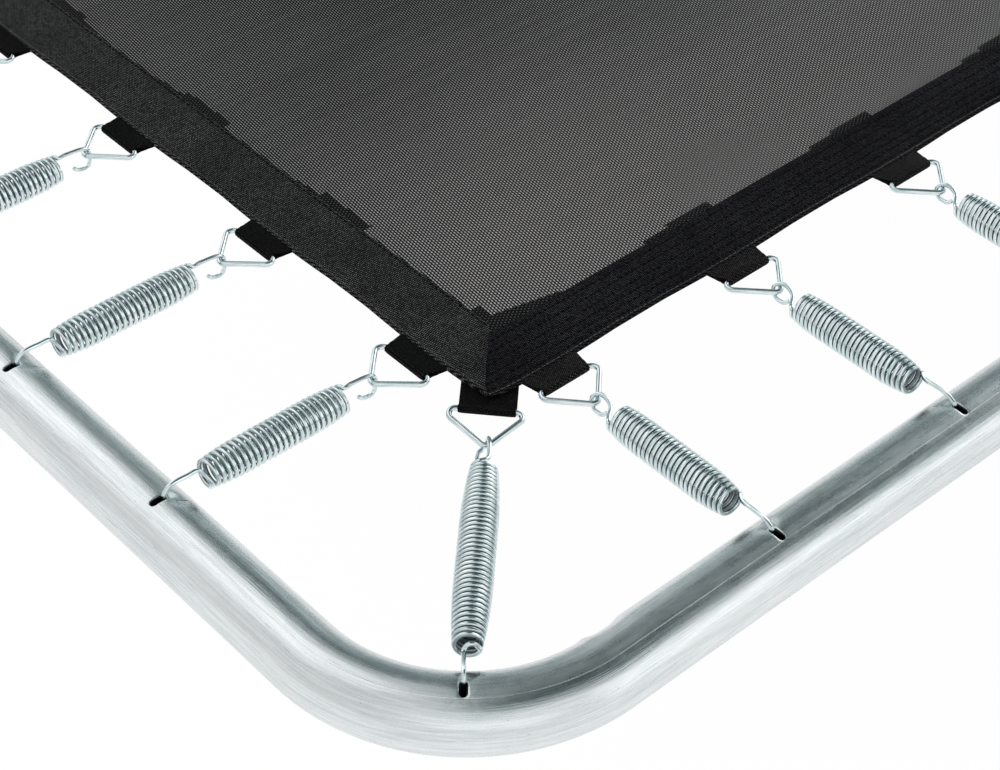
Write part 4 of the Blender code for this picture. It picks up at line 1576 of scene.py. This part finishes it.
def woven_plastic():
    cloth = Finish("woven_bed")
    place = cloth.own_place()
    x, y, _ = cloth.parts(place)
    wander = cloth.noise(place, 6.0, 2.0)
    u = (x + WARP_SLANT * y + 0.0004 * wander) / WEAVE_X
    v = (y + WEFT_SLANT * x + 0.0004 * wander) / WEAVE_Y
    across_u = abs((u * pi).wave())
    across_v = abs((v * pi).wave())
    over = ((u.whole() + v.whole()) * 0.5).fraction() < 0.25
    dash = across_u ** 4.5 * (0.35 + 0.65 * across_v)
    thin = 0.30 * across_u ** 7.0
    height = over * dash + (1.0 - over) * thin
    fibre = cloth.noise(cloth.stretched(place, (2600.0, 500.0, 1.0)), 1.0, 2.0)
    cloudy = cloth.noise(place, 2.2, 2.0)
    streaks = cloth.noise(cloth.stretched(place, (9.0, 260.0, 1.0)), 1.0, 2.0)
    # Painted sheen: brighter towards the long sides and a little towards the ends, darker in the middle.
    sheen_towards_edges = abs(y).step(0.02, 0.46).most(0.3 * abs(x).step(0.70, 0.95))
    tone = height * (0.5 + fibre) * (0.32 + 0.85 * sheen_towards_edges + 0.34 * streaks)
    holes = rgb(0.0008, 0.0008, 0.0010)
    # The threads' pale colour is painted sheen on black plastic, standing in for the light their tops
    # catch.
    shade = cloth.blend(cloudy.step(0.3, 0.7), rgb(0.60, 0.60, 0.597), rgb(0.72, 0.72, 0.713))
    cell_x = u.whole() * WEAVE_X
    cell_y = v.whole() * WEAVE_Y
    tails = webbing_tails(abs(cell_x - WARP_SLANT * y), abs(cell_y - WEFT_SLANT * x))
    mesh_with_painted_sheen = cloth.blend(tone, holes, shade)
    # Dim dashes of painted sheen where the mesh crosses over the loops' dark tails.
    painted_sheen_over_tail = over * (across_u * across_v) ** 3.0
    tail_with_painted_sheen = cloth.blend(painted_sheen_over_tail, rgb(0.004, 0.004, 0.0045), rgb(0.13, 0.13, 0.13))
    return cloth.wear(
        Base_Color=cloth.blend(tails * 0.96, mesh_with_painted_sheen, tail_with_painted_sheen),
        Roughness=0.62,
        Specular_IOR_Level=0.03,
        Normal=cloth.bump(height, 0.0002, 0.5),
    )


def webbing_tails(x, y):
    """1 where the loops' sewn ends lie under the mesh. They show through it as dark strips, stepped
    where the threads of the mesh cross them, one to a loop and one on each corner's diagonal."""
    from_side = MAT_WIDTH / 2 - y
    from_end = MAT_LENGTH / 2 - x
    along_side = ((x - side_stations[-1]) / side_pitch + 0.5).fraction() - 0.5
    along_end = ((y - end_stations[-1]) / end_pitch + 0.5).fraction() - 0.5
    past_side = along_side * side_pitch
    past_end = along_end * end_pitch
    side_depth = HEM_WIDTH + TAIL_DEPTH - TAIL_STEP_SIDE * (past_side > 0.008)
    end_depth = HEM_WIDTH + TAIL_DEPTH - TAIL_STEP_END * (past_end < -0.014)
    at_side = (from_side < side_depth) * (abs(past_side) < TAIL_HALF_SIDE) * (from_end > TAIL_CLEAR)
    at_end = (from_end < end_depth) * (abs(past_end) < TAIL_HALF_END) * (from_side > TAIL_CLEAR)
    short_leg = (from_end < SHORT_LEG_END) * (from_side < SHORT_LEG_SIDE)
    long_leg = (from_side + LONG_LEG_SLANT * from_end < LONG_LEG_SIDE) * (from_end < LONG_LEG_END)
    return at_side.most(at_end).most(short_leg).most(long_leg)


BED_INSET = 0.012
BED_X = MAT_LENGTH / 2 - BED_INSET
BED_Y = MAT_WIDTH / 2 - BED_INSET
BED_HALF = 0.0004
BED_SWAY = 0.0003
xs = np.linspace(-BED_X, BED_X, 121)
ys = np.linspace(-BED_Y, BED_Y, 61)
points = []
for side in (1, -1):
    for y in ys:
        for x in xs:
            edge = min(BED_X - abs(x), BED_Y - abs(y))
            slack = min(edge / 0.12, 1.0)
            sway = BED_SWAY * slack * (sin(x * 17) * sin(y * 23 + 1) + 0.6 * sin(x * 41 + y * 29))
            points.append((x, y, MAT_Z + side * BED_HALF + sway))
bed = as_piece("bed_weave", points, slab_faces(len(ys), len(xs)), woven_plastic(), 60.0)
print("bed", [round(v, 3) for v in bed.dimensions])

# %% [markdown]
# ## The mat's body
#
# Bed, hem, loops, threads and rings all move with the mat.

# %% Bodies of the soft pieces
for piece in (*rings, *loops, *hem.values(), *threads):
    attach(piece, "mat")
    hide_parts("hem")
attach(bed, "mat")
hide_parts("jumping_bed")

# %% [markdown]
# ## Floor and light
#
# The photograph is a studio cut-out on white. Light comes from large soft boxes all round, with a gap
# between them ahead and to the right, and it is that gap that draws the dark band along the front tube.
# The world's brightness is therefore a function of direction: a plain level, a few boxes added to it, and
# the gap taken out. The camera itself sees plain white in its place, as in a cut-out picture.

# %% Floor, world and exposure
FLOOR_R = 8.0
FLOOR_SIDES = 64


def daylight_world():
    world = bpy.data.worlds.new("studio")
    world.use_nodes = True
    room = Graph(world.node_tree)
    world.node_tree.nodes.clear()
    facing = room.node("ShaderNodeTexCoord", None, None, output=0)

    def towards(direction, low, high):
        aim = Vector(direction).normalized()
        dot = room.node("ShaderNodeVectorMath", {"operation": "DOT_PRODUCT"}, {0: facing, 1: aim}, 1)
        return dot.step(low, high)

    x, y, z = room.parts(facing)
    gap = (x - 0.7 * y + 0.04).step(-0.20, 0.20) * (1.0 - x.step(0.60, 0.86))
    gap = gap * y.step(-0.80, -0.36) * z.step(0.10, 0.42)
    far_wall = towards((0.72, 0.67, 0.18), 0.86, 0.97) * 0.60
    dark = gap.most(far_wall)
    bright = towards((-0.15, 0.56, 0.80), 0.86, 0.985)
    front = towards((-0.46, -0.74, 0.36), 0.76, 0.98)
    glint = towards((0.90, 0.15, 0.42), 0.92, 0.98)
    side_box = towards((0.12, 0.90, 0.42), 0.93, 0.985)
    low_box = towards((0.50, -0.82, 0.28), 0.92, 0.985)
    boxes = 0.80 + 0.46 * bright + 0.30 * front + 0.5 * side_box + 0.6 * low_box
    level = boxes * (1.0 - 0.90 * dark) + 1.3 * glint
    tone = room.blend(dark, rgb(1.0, 1.0, 1.0), rgb(0.74, 1.0, 1.04))
    rays = room.node("ShaderNodeLightPath")
    seen = Value(room, rays.output.node.outputs["Is Camera Ray"])
    light = room.node("ShaderNodeBackground", None, {"Color": tone, "Strength": level})
    plain = room.node("ShaderNodeBackground", None, {"Color": rgb(1, 1, 1), "Strength": 1.0})
    mixed = room.node("ShaderNodeMixShader", None, {0: seen, 1: light, 2: plain})
    room.node("ShaderNodeOutputWorld", None, {0: mixed})
    bpy.context.scene.world = world


def pale_floor():
    """A round pale floor that takes the object's shadow and looks white."""
    turns = tau * np.arange(FLOOR_SIDES) / FLOOR_SIDES
    edge = [(FLOOR_R * cos(a), FLOOR_R * sin(a), 0.0) for a in turns]
    look = Finish("studio_floor")
    grain = look.noise(look.own_place(), 3.0, 2.0)
    look.wear(Roughness=0.9, Base_Color=look.blend(grain, rgb(0.90, 0.90, 0.90), rgb(0.94, 0.94, 0.94)))
    rays = look.node("ShaderNodeLightPath")
    outs = rays.output.node.outputs
    seen = Value(look, outs["Is Camera Ray"]).most(Value(look, outs["Is Glossy Ray"]))
    white = look.node("ShaderNodeEmission", None, {"Color": rgb(1, 1, 1), "Strength": 1.03})
    shade = Value(look, look.shader.outputs[0])
    mixed = look.node("ShaderNodeMixShader", None, {0: seen * 0.94, 1: shade, 2: white})
    output = look.tree.nodes["Material Output"]
    look.feed(output.inputs["Surface"], mixed)
    floor = as_piece("studio_floor", edge, [tuple(range(FLOOR_SIDES))], look.material)


daylight_world()
pale_floor()
print("floor and studio ready")
